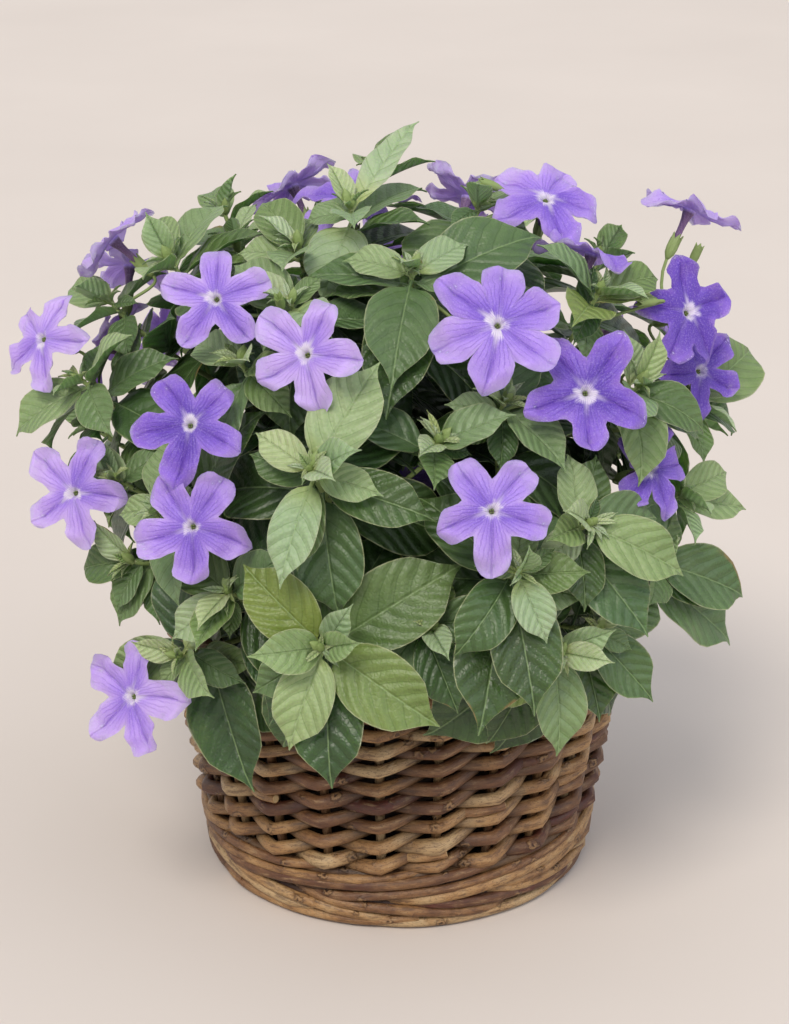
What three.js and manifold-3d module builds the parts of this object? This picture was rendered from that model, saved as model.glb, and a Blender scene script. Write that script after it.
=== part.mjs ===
// Bush violet (Browallia) in full flower, in a grow pot of compost inside a willow basket.
// Millimetres, +Z up, +X to the viewer's right, -Y towards the viewer.
// The origin is the centre of the basket's underside, which stands on z = 0.
import * as THREE from "three";
import Module from "manifold-3d";

const wasm = await Module();
wasm.setup();

// Basket: a flat base, an odd number of upright stakes, and rods woven round them.
const STAKES = 23;
const FIRST_STAKE = -95; // degrees round from +X
const FOOT_STAKE_R = 85.5; // radius of the ring of stakes at the foot
const RIM_STAKE_R = 104.5; // and under the rim
const BASE_R = 78;
const BASE_T = 5.4;
const STAKE_R = 2.1;
const STAKE_Z = 2.6; // height at which a stake leaves the base
const WEAVE_SWING = 5.5; // how far a rod passes outside or inside the ring of stakes
const ROD_H = 2.75; // half the height of a woven rod
const ROD_D = 2.6; // half its depth
const ROD_SAG = 1.4; // a rod dips this much outside a stake and rises as much inside one
const FOOT_TURNS = 4;
const FOOT_Z = 2.8;
const FOOT_PITCH = 6.4;
const WEAVE_TURNS = 15;
const WEAVE_Z = 30.5;
const WEAVE_PITCH = 5.72;
const RIM_Z = 124.6;
const RIM_ROPE_R = 6;
const GAP = 0.3; // between pieces that touch
const MERGE = 0.2; // edges this short, left where solids join, are merged

// Grow pot and compost.
const POT_SEGMENTS = 20;
const POT_FOOT_R = 71;
const POT_TOP_R = 93.5;
const POT_TOP_Z = 116;
const POT_WALL = 1.8;
const SOIL_Z = 104;
const SOIL_MOUND = 5;
const STEM_DEPTH = 20; // how deep a stem stands in the compost

// Room left round a piece that another must clear.
const STEM_CLEAR = 1.1;
const STALK_CLEAR = 0.8;
const BLOOM_CLEAR = 1.6;
const LEAF_CLEAR = 0.9;

// Plant.
const STEM_ROOT_R = 2.3;
const STEM_TIP_R = 1.3;
const BRANCH_ROOT_R = 1.5;
const STEM_SIDES = 3;
const STEM_STEPS = 5;
const BRANCH_STEPS = 3;
const CROWN = { centre: [-4, 0, 155], radii: [158, 150, 185] };
const HEART = [0, 0, 140]; // the shoots lean away from this point
const GOLDEN_ANGLE = 137.5;
const PETIOLE = 0.1; // share of a leaf's length
const LEAF_ASPECT = 0.27; // half width over length
const LONGEST_LEAF = 74;
const LEAF_MID = 0.75; // half the thickness at the midrib
const LEAF_STALK = 0.9; // half the thickness and width of a leaf's stalk
const LEAF_SUNK = 1.2; // how far its root runs past the middle of the stem
// Where a leaf has its sections, as shares of its length, by its size.
const SMALL = [0.42];
const MIDDLE = [0.12, 0.42];
const LARGE = [0.12, 0.3, 0.62];
// One row for each leaf counted back from the shoot's tip:
// distance from the tip, length, angle from the stem, droop over its length, fold.
const LEAF_ROWS = [
  { back: 2, long: 25, open: 34, droop: 14, fold: 28 },
  { back: 5, long: 37, open: 56, droop: 24, fold: 22 },
  { back: 10, long: 48, open: 70, droop: 36, fold: 18 },
  { back: 18, long: 58, open: 80, droop: 44, fold: 15 },
  { back: 31, long: 63, open: 86, droop: 50, fold: 13 },
];
// Petals.
const THROAT_R = 3.2;
const TUBE_LONG = 15;
const TUBE_R = 1.5;
const CALYX_LONG = 10;
const CALYX_R = 2.7;
const PETAL_MID = 0.65;

// How a viewer sees the plant, in perspective: looking down by PITCH from DEPTH away.
const PITCH = (21.2 * Math.PI) / 180;
const DEPTH = 1209;
const AXIS_X = 1.75; // the basket's foot, right of the middle of the view
const AXIS_UP = -160.5; // and above it

// A point from where it is seen: millimetres right of and above the foot's centre, to scale
// at the foot's distance, and its real y, front to back.
function seen(right, up, y) {
  const sin = Math.sin(PITCH);
  const cos = Math.cos(PITCH);
  const nearer = (up * sin - y) / (cos + ((up + AXIS_UP) * sin) / DEPTH);
  const shrink = nearer / DEPTH;
  const x = right - shrink * (right + AXIS_X);
  const rise = up - shrink * (up + AXIS_UP);
  return [x, y, rise * cos + nearer * sin];
}

// A point on the crown's rounded outside, by compass angle from +X and height angle.
function onCrown(turn, lift) {
  const t = (turn * Math.PI) / 180;
  const l = (lift * Math.PI) / 180;
  return [
    CROWN.centre[0] + CROWN.radii[0] * Math.cos(l) * Math.cos(t),
    CROWN.centre[1] + CROWN.radii[1] * Math.cos(l) * Math.sin(t),
    CROWN.centre[2] + CROWN.radii[2] * Math.sin(l),
  ];
}

// Shoots that rise from the compost, and then those that branch from one of them.
const STEMS = [
  { tip: seen(-24, 314, -25), phase: 40 },
  { tip: seen(7, 282, -70), phase: 150 },
  { tip: seen(40, 314, -8), phase: 200 },
  { tip: seen(-114, 287, -20), phase: 80 },
  { tip: seen(-81, 297, 8), phase: 20 },
  { tip: seen(-54, 266, -82), phase: 110 },
  { tip: seen(-44, 182, -138), phase: 250 },
  { tip: seen(-38, 92, -152), phase: 300 },
  { tip: seen(61, 130, -148), phase: 10 },
  { tip: seen(96, 155, -128), phase: 60 },
  { tip: seen(100, 102, -118), phase: 330 },
  { tip: seen(142, 170, -60), phase: 120 },
  { tip: seen(101, 271, -60), phase: 190 },
  { tip: seen(-159, 227, -30), phase: 220 },
  { tip: seen(-141, 177, -60), phase: 140 },
  { tip: seen(-110, 89, -105), phase: 70 },
  { tip: seen(-79, 236, -92), phase: 280 },
  { tip: onCrown(20, 16), phase: 90 },
  { tip: onCrown(58, 44), phase: 170 },
  { tip: onCrown(88, 10), phase: 350 },
  { tip: onCrown(95, 66), phase: 230 },
  { tip: onCrown(128, 40), phase: 30 },
  { tip: onCrown(162, 14), phase: 310 },
  { tip: onCrown(54, 6), phase: 100 },
];
const BRANCHES = [
  { on: 5, tip: seen(-50, 294, -42), phase: 15 },
  { on: 6, tip: seen(21, 196, -112), phase: 130 },
  { on: 7, tip: seen(16, 104, -138), phase: 200 },
  { on: 9, tip: seen(53, 216, -106), phase: 75 },
  { on: 10, tip: seen(81, 90, -138), phase: 260 },
  { on: 11, tip: seen(131, 136, -70), phase: 20 },
  { on: 12, tip: seen(121, 224, -72), phase: 320 },
  { on: 12, tip: seen(151, 216, -18), phase: 160 },
  { on: 3, tip: seen(-144, 266, 2), phase: 240 },
  { on: 14, tip: seen(-134, 136, -72), phase: 50 },
  { on: 15, tip: seen(-85, 121, -122), phase: 180 },
  { on: 16, tip: seen(-118, 162, -94), phase: 290 },
  { on: 17, tip: onCrown(28, 44), phase: 60 },
  { on: 20, tip: onCrown(75, 30), phase: 210 },
  { on: 21, tip: onCrown(152, 56), phase: 340 },
  { on: 21, tip: onCrown(112, 24), phase: 110 },
  { on: 22, tip: onCrown(132, 4), phase: 270 },
  { on: 19, tip: onCrown(104, -8), phase: 10 },
];

// Blooms: where the throat is, which way the face looks, how long a petal is, the angle of
// the first petal anticlockwise from the viewer's right, and the shoot that carries it.
const BLOOMS = [
  { at: seen(-178, 247, -22), face: [-0.55, -0.7, 0.45], petal: 24, first: 60, on: 13 },
  { at: seen(-143, 297, 8), face: [-0.74, 0.16, 0.65], petal: 25, first: 20, on: 32 },
  { at: seen(-134, 284, 34), face: [0.05, 0.5, 0.86], petal: 23, first: 50, on: 32 },
  { at: seen(-91, 267, -84), face: [-0.15, -0.85, 0.5], petal: 24, first: 90, on: 5 },
  { at: seen(-46, 239, -118), face: [-0.4, -0.82, 0.42], petal: 25, first: 64, on: 5 },
  { at: seen(-104, 204, -112), face: [-0.05, -0.8, 0.6], petal: 25, first: 44, on: 16 },
  { at: seen(-162, 170, -62), face: [-0.45, -0.78, 0.42], petal: 26, first: 67, on: 14 },
  { at: seen(-103, 153, -128), face: [-0.25, -0.9, 0.32], petal: 26, first: 56, on: 35 },
  { at: seen(-133, 68, -104), face: [-0.6, -0.74, 0.3], petal: 27, first: 74, on: 15 },
  { at: seen(-22, 317, 14), face: [0, -0.25, 0.97], petal: 29, first: 80, on: 0 },
  { at: seen(0, 170, -72), face: [0.1, -0.8, 0.6], petal: 22, first: 30, on: 1, fork: 0.6 },
  { at: seen(47, 161, -148), face: [0.05, -0.85, 0.52], petal: 26, first: 54, on: 8 },
  { at: seen(50, 254, -112), face: [0.1, -0.8, 0.6], petal: 30, first: 82, on: 1, petals: 6 },
  { at: seen(74, 317, -18), face: [0.12, -0.5, 0.86], petal: 27, first: 70, on: 2 },
  { at: seen(97, 290, -36), face: [0.28, 0.35, 0.9], petal: 26, first: 10, on: 12 },
  { at: seen(94, 220, -114), face: [0.15, -0.85, 0.5], petal: 28, first: 54, on: 27 },
  { at: seen(146, 312, 6), face: [0.42, 0.33, 0.84], petal: 24, first: 0, on: 31 },
  { at: seen(145, 260, -42), face: [0.52, -0.74, 0.42], petal: 26, first: 100, on: 31 },
  { at: seen(151, 231, -24), face: [0.5, -0.72, 0.46], petal: 23, first: 50, on: 31 },
  { at: seen(127, 182, -88), face: [0.55, -0.7, 0.45], petal: 23, first: 85, on: 11 },
  { at: onCrown(40, 26), face: [0.75, 0.55, 0.35], petal: 25, first: 30, on: 36 },
  { at: onCrown(66, 54), face: [0.3, 0.65, 0.7], petal: 27, first: 80, on: 18 },
  { at: onCrown(92, 38), face: [0.05, 0.8, 0.6], petal: 26, first: 55, on: 37 },
  { at: onCrown(104, 8), face: [-0.2, 0.9, 0.38], petal: 25, first: 75, on: 19 },
  { at: onCrown(126, 60), face: [-0.4, 0.5, 0.77], petal: 26, first: 40, on: 21 },
  { at: onCrown(142, 26), face: [-0.7, 0.62, 0.36], petal: 25, first: 10, on: 40 },
  { at: onCrown(170, 30), face: [-0.9, 0.25, 0.35], petal: 26, first: 66, on: 22 },
  { at: onCrown(72, 8), face: [0.35, 0.88, 0.32], petal: 24, first: 20, on: 19 },
  { at: onCrown(8, 30), face: [0.9, 0.1, 0.42], petal: 26, first: 88, on: 17 },
];

// Leaves placed by their tips: the shoot, how far back from its own tip the leaf stands,
// and where the leaf's tip is seen. A fifth number is half the width over the length.
const LEAF_TIPS = [
  [0, 4, 15, 356, 0.2],
  [0, 5, -47, 305, 0.34],
  [0, 8, -39, 264],
  [1, 4, 36, 294],
  [1, 4, -28, 287],
  [1, 6, -5, 222],
  [1, 14, 73, 299],
  [2, 3, 26, 302],
  [3, 3, -120, 308],
  [3, 5, -86, 315],
  [3, 4, -126, 280],
  [4, 1, -71, 315, 0.18],
  [4, 6, -70, 304],
  [24, 4, -68, 316],
  [24, 8, -81, 290],
  [5, 4, -38, 278],
  [5, 10, -66, 233],
  [5, 9, -82, 285],
  [16, 1, -87, 245, 0.16],
  [16, 8, -53, 208],
  [13, 6, -192, 198],
  [13, 5, -143, 198],
  [13, 7, -147, 246],
  [13, 14, -110, 238],
  [32, 3, -166, 271],
  [32, 3, -130, 265],
  [32, 14, -137, 254],
  [32, 10, -135, 236],
  [6, 4, -9, 236],
  [6, 4, -72, 200],
  [6, 5, -7, 169],
  [6, 9, -61, 122],
  [6, 14, -75, 189],
  [6, 16, 22, 164],
  [7, 5, -78, 135],
  [7, 18, 33, 136],
  [7, 6, 24, 52],
  [7, 4, -56, 41],
  [7, 12, -35, 21],
  [7, 10, -77, 66],
  [7, 20, -64, 142],
  [15, 3, -87, 115, 0.18],
  [15, 8, -151, 79],
  [15, 8, -76, 75],
  [15, 18, -69, 12],
  [15, 16, -151, 28],
  [34, 8, -113, 96],
  [34, 10, -84, 97],
  [14, 4, -115, 190],
  [14, 10, -163, 190],
  [14, 2, -147, 194, 0.18],
  [35, 5, -140, 159],
  [35, 1, -115, 178, 0.2],
  [33, 8, -141, 111],
  [33, 14, -140, 103],
  [33, 6, -158, 131],
  [33, 16, -120, 104],
  [8, 2, 79, 142, 0.2],
  [8, 2, 38, 133, 0.2],
  [8, 4, 74, 94],
  [8, 12, 69, 58],
  [8, 20, 40, 39],
  [8, 14, 28, 87],
  [26, 8, 30, 59],
  [26, 4, 17, 95],
  [26, 10, 28, 129],
  [9, 1, 100, 168, 0.2],
  [9, 4, 144, 129],
  [9, 7, 69, 131],
  [9, 12, 93, 110],
  [9, 18, 126, 98],
  [9, 10, 85, 190],
  [10, 3, 85, 85],
  [10, 3, 117, 91],
  [10, 8, 129, 66],
  [10, 9, 131, 47],
  [10, 14, 101, 55],
  [11, 3, 165, 181],
  [11, 6, 175, 162, 0.2],
  [29, 6, 174, 118],
  [29, 10, 162, 117],
  [29, 14, 173, 88],
  [30, 12, 121, 173],
  [30, 8, 154, 200],
  [31, 10, 153, 184],
  [31, 8, 168, 199],
  [31, 4, 180, 247],
  [27, 10, 51, 181],
  [27, 14, 29, 196],
  [27, 9, 23, 214],
  [25, 6, 37, 189],
  [12, 4, 131, 277],
  [12, 8, 88, 244],
  [12, 16, 101, 295],
];

// Vectors.
const add = (a, b) => [a[0] + b[0], a[1] + b[1], a[2] + b[2]];
const sub = (a, b) => [a[0] - b[0], a[1] - b[1], a[2] - b[2]];
const times = (a, s) => [a[0] * s, a[1] * s, a[2] * s];
const dot = (a, b) => a[0] * b[0] + a[1] * b[1] + a[2] * b[2];
const cross = (a, b) => [
  a[1] * b[2] - a[2] * b[1],
  a[2] * b[0] - a[0] * b[2],
  a[0] * b[1] - a[1] * b[0],
];
const size = (a) => Math.sqrt(dot(a, a));
const unit = (a) => times(a, 1 / size(a));
const blend = (a, b, t) => add(times(a, 1 - t), times(b, t));
const flat = (a, n) => unit(sub(a, times(n, dot(a, n)))); // a turned into the plane of normal n
const radians = (degrees) => (degrees * Math.PI) / 180;
const UP = [0, 0, 1];
const VIEWER = [0, -Math.cos(PITCH), Math.sin(PITCH)];
const RIGHT = [1, 0, 0];

// Seeded draws from 0 to 1.
let seed = 20;
function draw() {
  seed = (Math.imul(seed, 1664525) + 1013904223) >>> 0;
  return seed / 4294967296;
}

// Closed meshes are { v: points, f: triangles }. A loft joins rings of equally many points;
// each end is drawn to a point where one is given, and closed flat otherwise.
function loft(rings, tip, root) {
  const n = rings[0].length;
  const v = rings.flat();
  const f = [];
  for (let i = 0; i + 1 < rings.length; i++)
    for (let j = 0; j < n; j++) {
      const a = i * n + j;
      const b = i * n + ((j + 1) % n);
      f.push([a, b, b + n], [a, b + n, a + n]);
    }
  if (root) {
    v.push(root);
    for (let j = 0; j < n; j++) f.push([(j + 1) % n, j, v.length - 1]);
  } else {
    for (let j = 1; j + 1 < n; j++) f.push([0, j + 1, j]);
  }
  const last = (rings.length - 1) * n;
  if (tip) {
    v.push(tip);
    for (let j = 0; j < n; j++) f.push([last + j, last + ((j + 1) % n), v.length - 1]);
  } else {
    for (let j = 1; j + 1 < n; j++) f.push([last, last + j, last + j + 1]);
  }
  return facingOut({ v, f });
}

// A ring of sections that closes on itself, the last meeting the first turned by shift points.
function loop(rings, shift = 0) {
  const n = rings[0].length;
  const f = [];
  for (let i = 0; i < rings.length; i++)
    for (let j = 0; j < n; j++) {
      const next = (i + 1) % rings.length;
      const k = next ? j : j + shift;
      const a = i * n + j;
      const b = i * n + ((j + 1) % n);
      const c = next * n + ((k + 1) % n);
      const d = next * n + (k % n);
      f.push([a, b, c], [a, c, d]);
    }
  return facingOut({ v: rings.flat(), f });
}

function facingOut(mesh) {
  let volume = 0;
  for (const [a, b, c] of mesh.f) volume += dot(mesh.v[a], cross(mesh.v[b], mesh.v[c]));
  if (volume < 0) mesh.f = mesh.f.map(([a, b, c]) => [a, c, b]);
  return mesh;
}

function asManifold(mesh) {
  const vertProperties = new Float32Array(mesh.v.flat());
  const triVerts = new Uint32Array(mesh.f.flat());
  return new wasm.Manifold(new wasm.Mesh({ numProp: 3, vertProperties, triVerts }));
}

const joined = (solids) => wasm.Manifold.union(solids).asOriginal().simplify(MERGE);

function fromManifold(made) {
  const mesh = made.getMesh();
  const positions = new Float32Array(mesh.numVert * 3);
  for (let i = 0; i < mesh.numVert; i++) {
    const start = i * mesh.numProp;
    positions.set(mesh.vertProperties.subarray(start, start + 3), i * 3);
  }
  const geometry = new THREE.BufferGeometry();
  geometry.setAttribute("position", new THREE.BufferAttribute(positions, 3));
  geometry.setIndex(new THREE.BufferAttribute(mesh.triVerts, 1));
  return geometry;
}

const part = new THREE.Group();
function addNode(name, geometry, color, roughness) {
  geometry.computeVertexNormals();
  const material = new THREE.MeshStandardMaterial({ color, roughness, metalness: 0 });
  const node = new THREE.Mesh(geometry, material);
  node.name = name;
  part.add(node);
}

// Basket.
const wallR = (z) => FOOT_STAKE_R + ((RIM_STAKE_R - FOOT_STAKE_R) * z) / RIM_Z;
const stakeTurn = (i) => ((2 * Math.PI) / STAKES) * i + (Math.PI * FIRST_STAKE) / 180;
const polar = (r, turn, z) => [r * Math.cos(turn), r * Math.sin(turn), z];

// A rod wound round the stakes: side(i) is 1 where it passes outside stake i and -1 inside.
// Its section is a triangle with the ridge outwards.
function woundRod(turns, z0, pitch, side, sag) {
  const rings = [];
  for (let i = 0; i <= turns * STAKES; i++) {
    const turn = stakeTurn(i);
    const z = z0 + (pitch * i) / STAKES - sag * side(i);
    const r = wallR(z) + side(i) * WEAVE_SWING;
    rings.push([
      polar(r - ROD_D, turn, z - ROD_H),
      polar(r + ROD_D, turn, z),
      polar(r - ROD_D, turn, z + ROD_H),
    ]);
  }
  return loft(rings);
}

// A lathe about +Z as a closed mesh with shared vertices; the profile starts and ends on the axis.
function turned(profile, segments) {
  const ring = profile.slice(1, -1);
  const rings = ring.map(([r, z]) =>
    Array.from({ length: segments }, (_, j) => polar(r, (2 * Math.PI * j) / segments, z)),
  );
  const v = rings.flat();
  const f = [];
  for (let i = 0; i + 1 < rings.length; i++)
    for (let j = 0; j < segments; j++) {
      const a = i * segments + j;
      const b = i * segments + ((j + 1) % segments);
      f.push([a, b, b + segments], [a, b + segments, a + segments]);
    }
  const first = v.push([0, 0, profile[0][1]]) - 1;
  const last = v.push([0, 0, profile[profile.length - 1][1]]) - 1;
  const end = (rings.length - 1) * segments;
  for (let j = 0; j < segments; j++) {
    f.push([j, first, (j + 1) % segments]);
    f.push([end + j, end + ((j + 1) % segments), last]);
  }
  return facingOut({ v, f });
}

function basketFrame() {
  const base = turned(
    [
      [0, 0],
      [BASE_R, 0],
      [BASE_R, BASE_T],
      [0, BASE_T],
    ],
    STAKES,
  );
  const pieces = [asManifold(base)];
  for (let k = 0; k < STAKES; k++) {
    const turn = stakeTurn(k);
    // A diamond round a point, its corners at a distance along and across the wall.
    const diamond = (r, z, out, rise) => [
      add(polar(r, turn, z), polar(out, turn, rise)),
      add(polar(r, turn, z), polar(STAKE_R, turn + Math.PI / 2, 0)),
      add(polar(r, turn, z), polar(-out, turn, -rise)),
      add(polar(r, turn, z), polar(STAKE_R, turn - Math.PI / 2, 0)),
    ];
    const top = RIM_Z - RIM_ROPE_R - GAP;
    const sections = [
      diamond(BASE_R - 5, STAKE_Z, 0, -STAKE_R),
      diamond(FOOT_STAKE_R, STAKE_Z + 0.6, STAKE_R, -STAKE_R),
      diamond(wallR(top), top, STAKE_R, 0),
    ];
    pieces.push(asManifold(loft(sections)));
  }
  return joined(pieces);
}

// The border is a square rope that turns by an eighth between sections, two to a stake,
// so that an edge of it rests on each stake.
function basketRim() {
  const rings = [];
  for (let i = 0; i < 2 * STAKES; i++) {
    const turn = stakeTurn(i / 2);
    const ring = [];
    for (let j = 0; j < 4; j++) {
      const a = (Math.PI * (2 * j + i)) / 4;
      const r = RIM_STAKE_R + RIM_ROPE_R * Math.cos(a);
      ring.push(polar(r, turn, RIM_Z + RIM_ROPE_R * Math.sin(a)));
    }
    rings.push(ring);
  }
  return loop(rings, (2 * STAKES) / 2);
}

const footSide = (i) => (i < STAKES || i % 3 !== 2 ? 1 : -1);
const weaveSide = (i) => (i % 2 === 0 ? 1 : -1);
const WICKER = 0x9a7657;
addNode("basket_frame", fromManifold(basketFrame()), 0x86664a, 0.75);
const foot = woundRod(FOOT_TURNS, FOOT_Z, FOOT_PITCH, footSide, 0);
const weave = woundRod(WEAVE_TURNS, WEAVE_Z, WEAVE_PITCH, weaveSide, ROD_SAG);
addNode("basket_foot", fromManifold(asManifold(foot)), WICKER, 0.7);
addNode("basket_weave", fromManifold(asManifold(weave)), WICKER, 0.7);
addNode("basket_rim", fromManifold(asManifold(basketRim())), WICKER, 0.7);

// Shoots: a straight foot in the compost, then one Bezier curve to the tip.
function bezier(p, t) {
  const s = 1 - t;
  const weights = [s * s * s, 3 * s * s * t, 3 * s * t * t, t * t * t];
  return weights.reduce((sum, w, i) => add(sum, times(p[i], w)), [0, 0, 0]);
}

function heading(p, t) {
  const s = 1 - t;
  const weights = [s * s, 2 * s * t, t * t];
  const steps = weights.map((w, i) => times(sub(p[i + 1], p[i]), w));
  return unit(steps.reduce(add));
}

const PATH_SAMPLES = 24;
function measured(shoot) {
  shoot.reach = [0];
  for (let i = 1; i <= PATH_SAMPLES; i++) {
    const [from, to] = [(i - 1) / PATH_SAMPLES, i / PATH_SAMPLES];
    const step = sub(bezier(shoot.p, to), bezier(shoot.p, from));
    shoot.reach.push(shoot.reach[i - 1] + size(step));
  }
  shoot.length = shoot.reach[PATH_SAMPLES];
  return shoot;
}

// The curve's parameter at a distance back from the tip.
function backFromTip(shoot, back) {
  const target = Math.max(0, shoot.length - back);
  let i = 1;
  while (i < PATH_SAMPLES && shoot.reach[i] < target) i++;
  const [from, to] = [shoot.reach[i - 1], shoot.reach[i]];
  return (i - 1 + (target - from) / (to - from)) / PATH_SAMPLES;
}

// A point on the shoot as it is built, in straight steps between points of its curve.
const stepsOf = (shoot) => (shoot.rooted ? STEM_STEPS : BRANCH_STEPS);
function onShoot(shoot, t) {
  const steps = stepsOf(shoot);
  const i = Math.min(steps - 1, Math.floor(t * steps));
  const [from, to] = [bezier(shoot.p, i / steps), bezier(shoot.p, (i + 1) / steps)];
  return blend(from, to, t * steps - i);
}

const leanAt = (tip) => unit(add(unit(sub(tip, HEART)), [0, 0, 0.25]));

// A shoot to a tip. The try moves a root round the pot, or a branch's fork along its parent.
function rootedShoot(stem, node, attempt) {
  const level = Math.min(1, Math.max(0, (stem.tip[2] - 120) / 220));
  const rootR = 58 - 44 * level;
  const turn = Math.atan2(stem.tip[1], stem.tip[0]) + radians(attempt);
  const root = polar(rootR, turn, SOIL_Z + SOIL_MOUND);
  const far = size(sub(stem.tip, root));
  const lean = leanAt(stem.tip);
  const p = [
    root,
    add(root, [0, 0, 0.42 * far]),
    sub(stem.tip, times(lean, 0.36 * far)),
    stem.tip,
  ];
  return measured({ p, node, phase: stem.phase, rooted: true });
}

function branchShoot(branch, parent, attempt) {
  const fork = 0.45 + attempt / 100;
  const start = onShoot(parent, fork);
  const far = size(sub(branch.tip, start));
  const lean = leanAt(branch.tip);
  const p = [
    start,
    add(start, times(heading(parent.p, fork), 0.35 * far)),
    sub(branch.tip, times(lean, 0.36 * far)),
    branch.tip,
  ];
  return measured({ p, node: parent.node, phase: branch.phase, rooted: false });
}

// A round stem as a loft of few sides along points, with a radius at each.
function rod(points, radii, sides) {
  let across = null;
  const rings = points.map((point, i) => {
    const before = points[Math.max(0, i - 1)];
    const after = points[Math.min(points.length - 1, i + 1)];
    const along = unit(sub(after, before));
    across = flat(across ?? (Math.abs(along[2]) > 0.9 ? RIGHT : UP), along);
    const side = cross(along, across);
    const ring = [];
    for (let j = 0; j < sides; j++) {
      const a = (2 * Math.PI * j) / sides;
      const [u, w] = [radii[i] * Math.cos(a), radii[i] * Math.sin(a)];
      ring.push(add(point, add(times(across, u), times(side, w))));
    }
    return ring;
  });
  return loft(rings);
}

function shootSolid(shoot, margin) {
  const steps = stepsOf(shoot);
  const rootR = shoot.rooted ? STEM_ROOT_R : BRANCH_ROOT_R;
  const points = [];
  const radii = [];
  for (let i = 0; i <= steps; i++) {
    points.push(bezier(shoot.p, i / steps));
    radii.push(rootR + ((STEM_TIP_R - rootR) * i) / steps + margin);
  }
  if (shoot.rooted) {
    points.unshift(sub(points[0], [0, 0, STEM_DEPTH]));
    radii.unshift(radii[0]);
  }
  return rod(points, radii, STEM_SIDES);
}

// Blooms. The face looks along n; e1 and e2 span its plane.
function bloomFrame(bloom) {
  const n = unit(bloom.face);
  const e1 = flat(RIGHT, n);
  const e2 = cross(n, e1);
  return { ...bloom, n, e1, e2, petals: bloom.petals ?? 5 };
}

// The flower stalk runs from near the tip of its shoot to the foot of the calyx.
function stalkCurve(bloom, shoot, attempt) {
  const foot = sub(bloom.at, times(bloom.n, TUBE_LONG + CALYX_LONG));
  const fork = (bloom.fork ?? 0.92) - attempt / 100;
  const start = onShoot(shoot, fork);
  const far = size(sub(foot, start));
  return [
    start,
    add(start, times(heading(shoot.p, fork), 0.4 * far)),
    sub(foot, times(bloom.n, 0.4 * far)),
    foot,
  ];
}

function stalkSolid(stalk, n, margin) {
  const points = [stalk[0], bezier(stalk, 0.5), stalk[3]];
  const radii = [0.9, 0.85, 1.1].map((r) => r + margin);
  points.push(add(stalk[3], times(n, CALYX_LONG * 0.3)));
  radii.push(CALYX_R + margin);
  points.push(add(stalk[3], times(n, CALYX_LONG - GAP)));
  radii.push(CALYX_R * 0.9 + margin);
  return rod(points, radii, STEM_SIDES);
}

// A bloom: a star of petals that share their outline with the underside, and a tube.
// A petal bows up near the throat and back at its tip.
const petalHeight = (share, long) => long * (0.16 * share - 0.26 * share * share);
function bloomSolid(bloom, margin) {
  const long = bloom.petal + margin;
  const thick = PETAL_MID + margin;
  const { n, e1, e2, petals } = bloom;
  const v = [];
  const at = (r, turn, h) => {
    const flatPart = add(times(e1, r * Math.cos(turn)), times(e2, r * Math.sin(turn)));
    return v.push(add(bloom.at, add(flatPart, times(n, h)))) - 1;
  };
  const throat = [];
  const under = [];
  const tube = [];
  const lobes = [];
  const step = (2 * Math.PI) / petals;
  const wide = step * 0.37 + margin / long;
  const rimAt = (share, turn) => at(long * share, turn, petalHeight(share, long));
  for (let k = 0; k < petals; k++) {
    const turn = radians(bloom.first) + k * step;
    const notch = turn - step / 2;
    const middle = petalHeight(0.6, long) - 0.6;
    throat.push(at(THROAT_R, notch, 0));
    under.push(at(THROAT_R, notch, -2 * PETAL_MID));
    tube.push(at(TUBE_R, notch, -TUBE_LONG));
    lobes.push({
      notch: rimAt(0.36, notch),
      edge: [rimAt(0.8, turn - wide), rimAt(1, turn), rimAt(0.8, turn + wide)],
      top: at(long * 0.6, turn, middle + thick),
      bottom: at(long * 0.6, turn, middle - thick),
    });
  }
  const dimple = at(0, 0, -1.6);
  const f = [];
  for (let k = 0; k < petals; k++) {
    const next = (k + 1) % petals;
    const { notch, edge, top, bottom } = lobes[k];
    const outline = [notch, ...edge, lobes[next].notch];
    const fan = (ends, middle) => {
      const ring = [ends[k], ...outline, ends[next]];
      ring.forEach((a, i) => f.push([a, ring[(i + 1) % ring.length], middle]));
    };
    fan(throat, top);
    const above = f.length;
    fan(under, bottom);
    for (let i = above; i < f.length; i++) f[i].reverse();
    f.push([throat[k], throat[next], dimple]);
    f.push([under[next], under[k], tube[next]], [tube[next], under[k], tube[k]]);
  }
  for (let k = 1; k + 1 < petals; k++) f.push([tube[0], tube[k + 1], tube[k]]);
  return facingOut({ v, f });
}

// Leaves. The midrib is an arc that bends away from the upper face; the blade is folded
// along it, and its outline is an egg drawn out to a tip.
function halfWidth(s) {
  if (s <= PETIOLE) return 0;
  const u = (s - PETIOLE) / (1 - PETIOLE);
  return (Math.pow(u, 0.55) * Math.pow(1 - u, 1.15)) / 0.343;
}

function midrib(leaf, s) {
  const a = leaf.droop * s;
  const along = (leaf.long * Math.sin(a)) / leaf.droop;
  const fall = (leaf.long * (1 - Math.cos(a))) / leaf.droop;
  const point = add(leaf.root, sub(times(leaf.along, along), times(leaf.face, fall)));
  const face = add(times(leaf.face, Math.cos(a)), times(leaf.along, Math.sin(a)));
  return { point, face };
}

function leafRings(leaf, outline, margin) {
  return outline.map((s) => {
    const { point, face } = midrib(leaf, s);
    const stalk = s < 0.14;
    const wide = Math.max(LEAF_STALK, leaf.wide * halfWidth(s)) + margin;
    const mid = times(face, (stalk ? LEAF_STALK : LEAF_MID) + margin * 0.8);
    const rise = times(face, stalk ? 0 : wide * Math.sin(leaf.fold));
    const reach = times(leaf.side, stalk ? wide : wide * Math.cos(leaf.fold));
    const left = add(add(point, reach), rise);
    const right = add(sub(point, reach), rise);
    return [left, add(point, mid), right, sub(point, mid)];
  });
}

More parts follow.
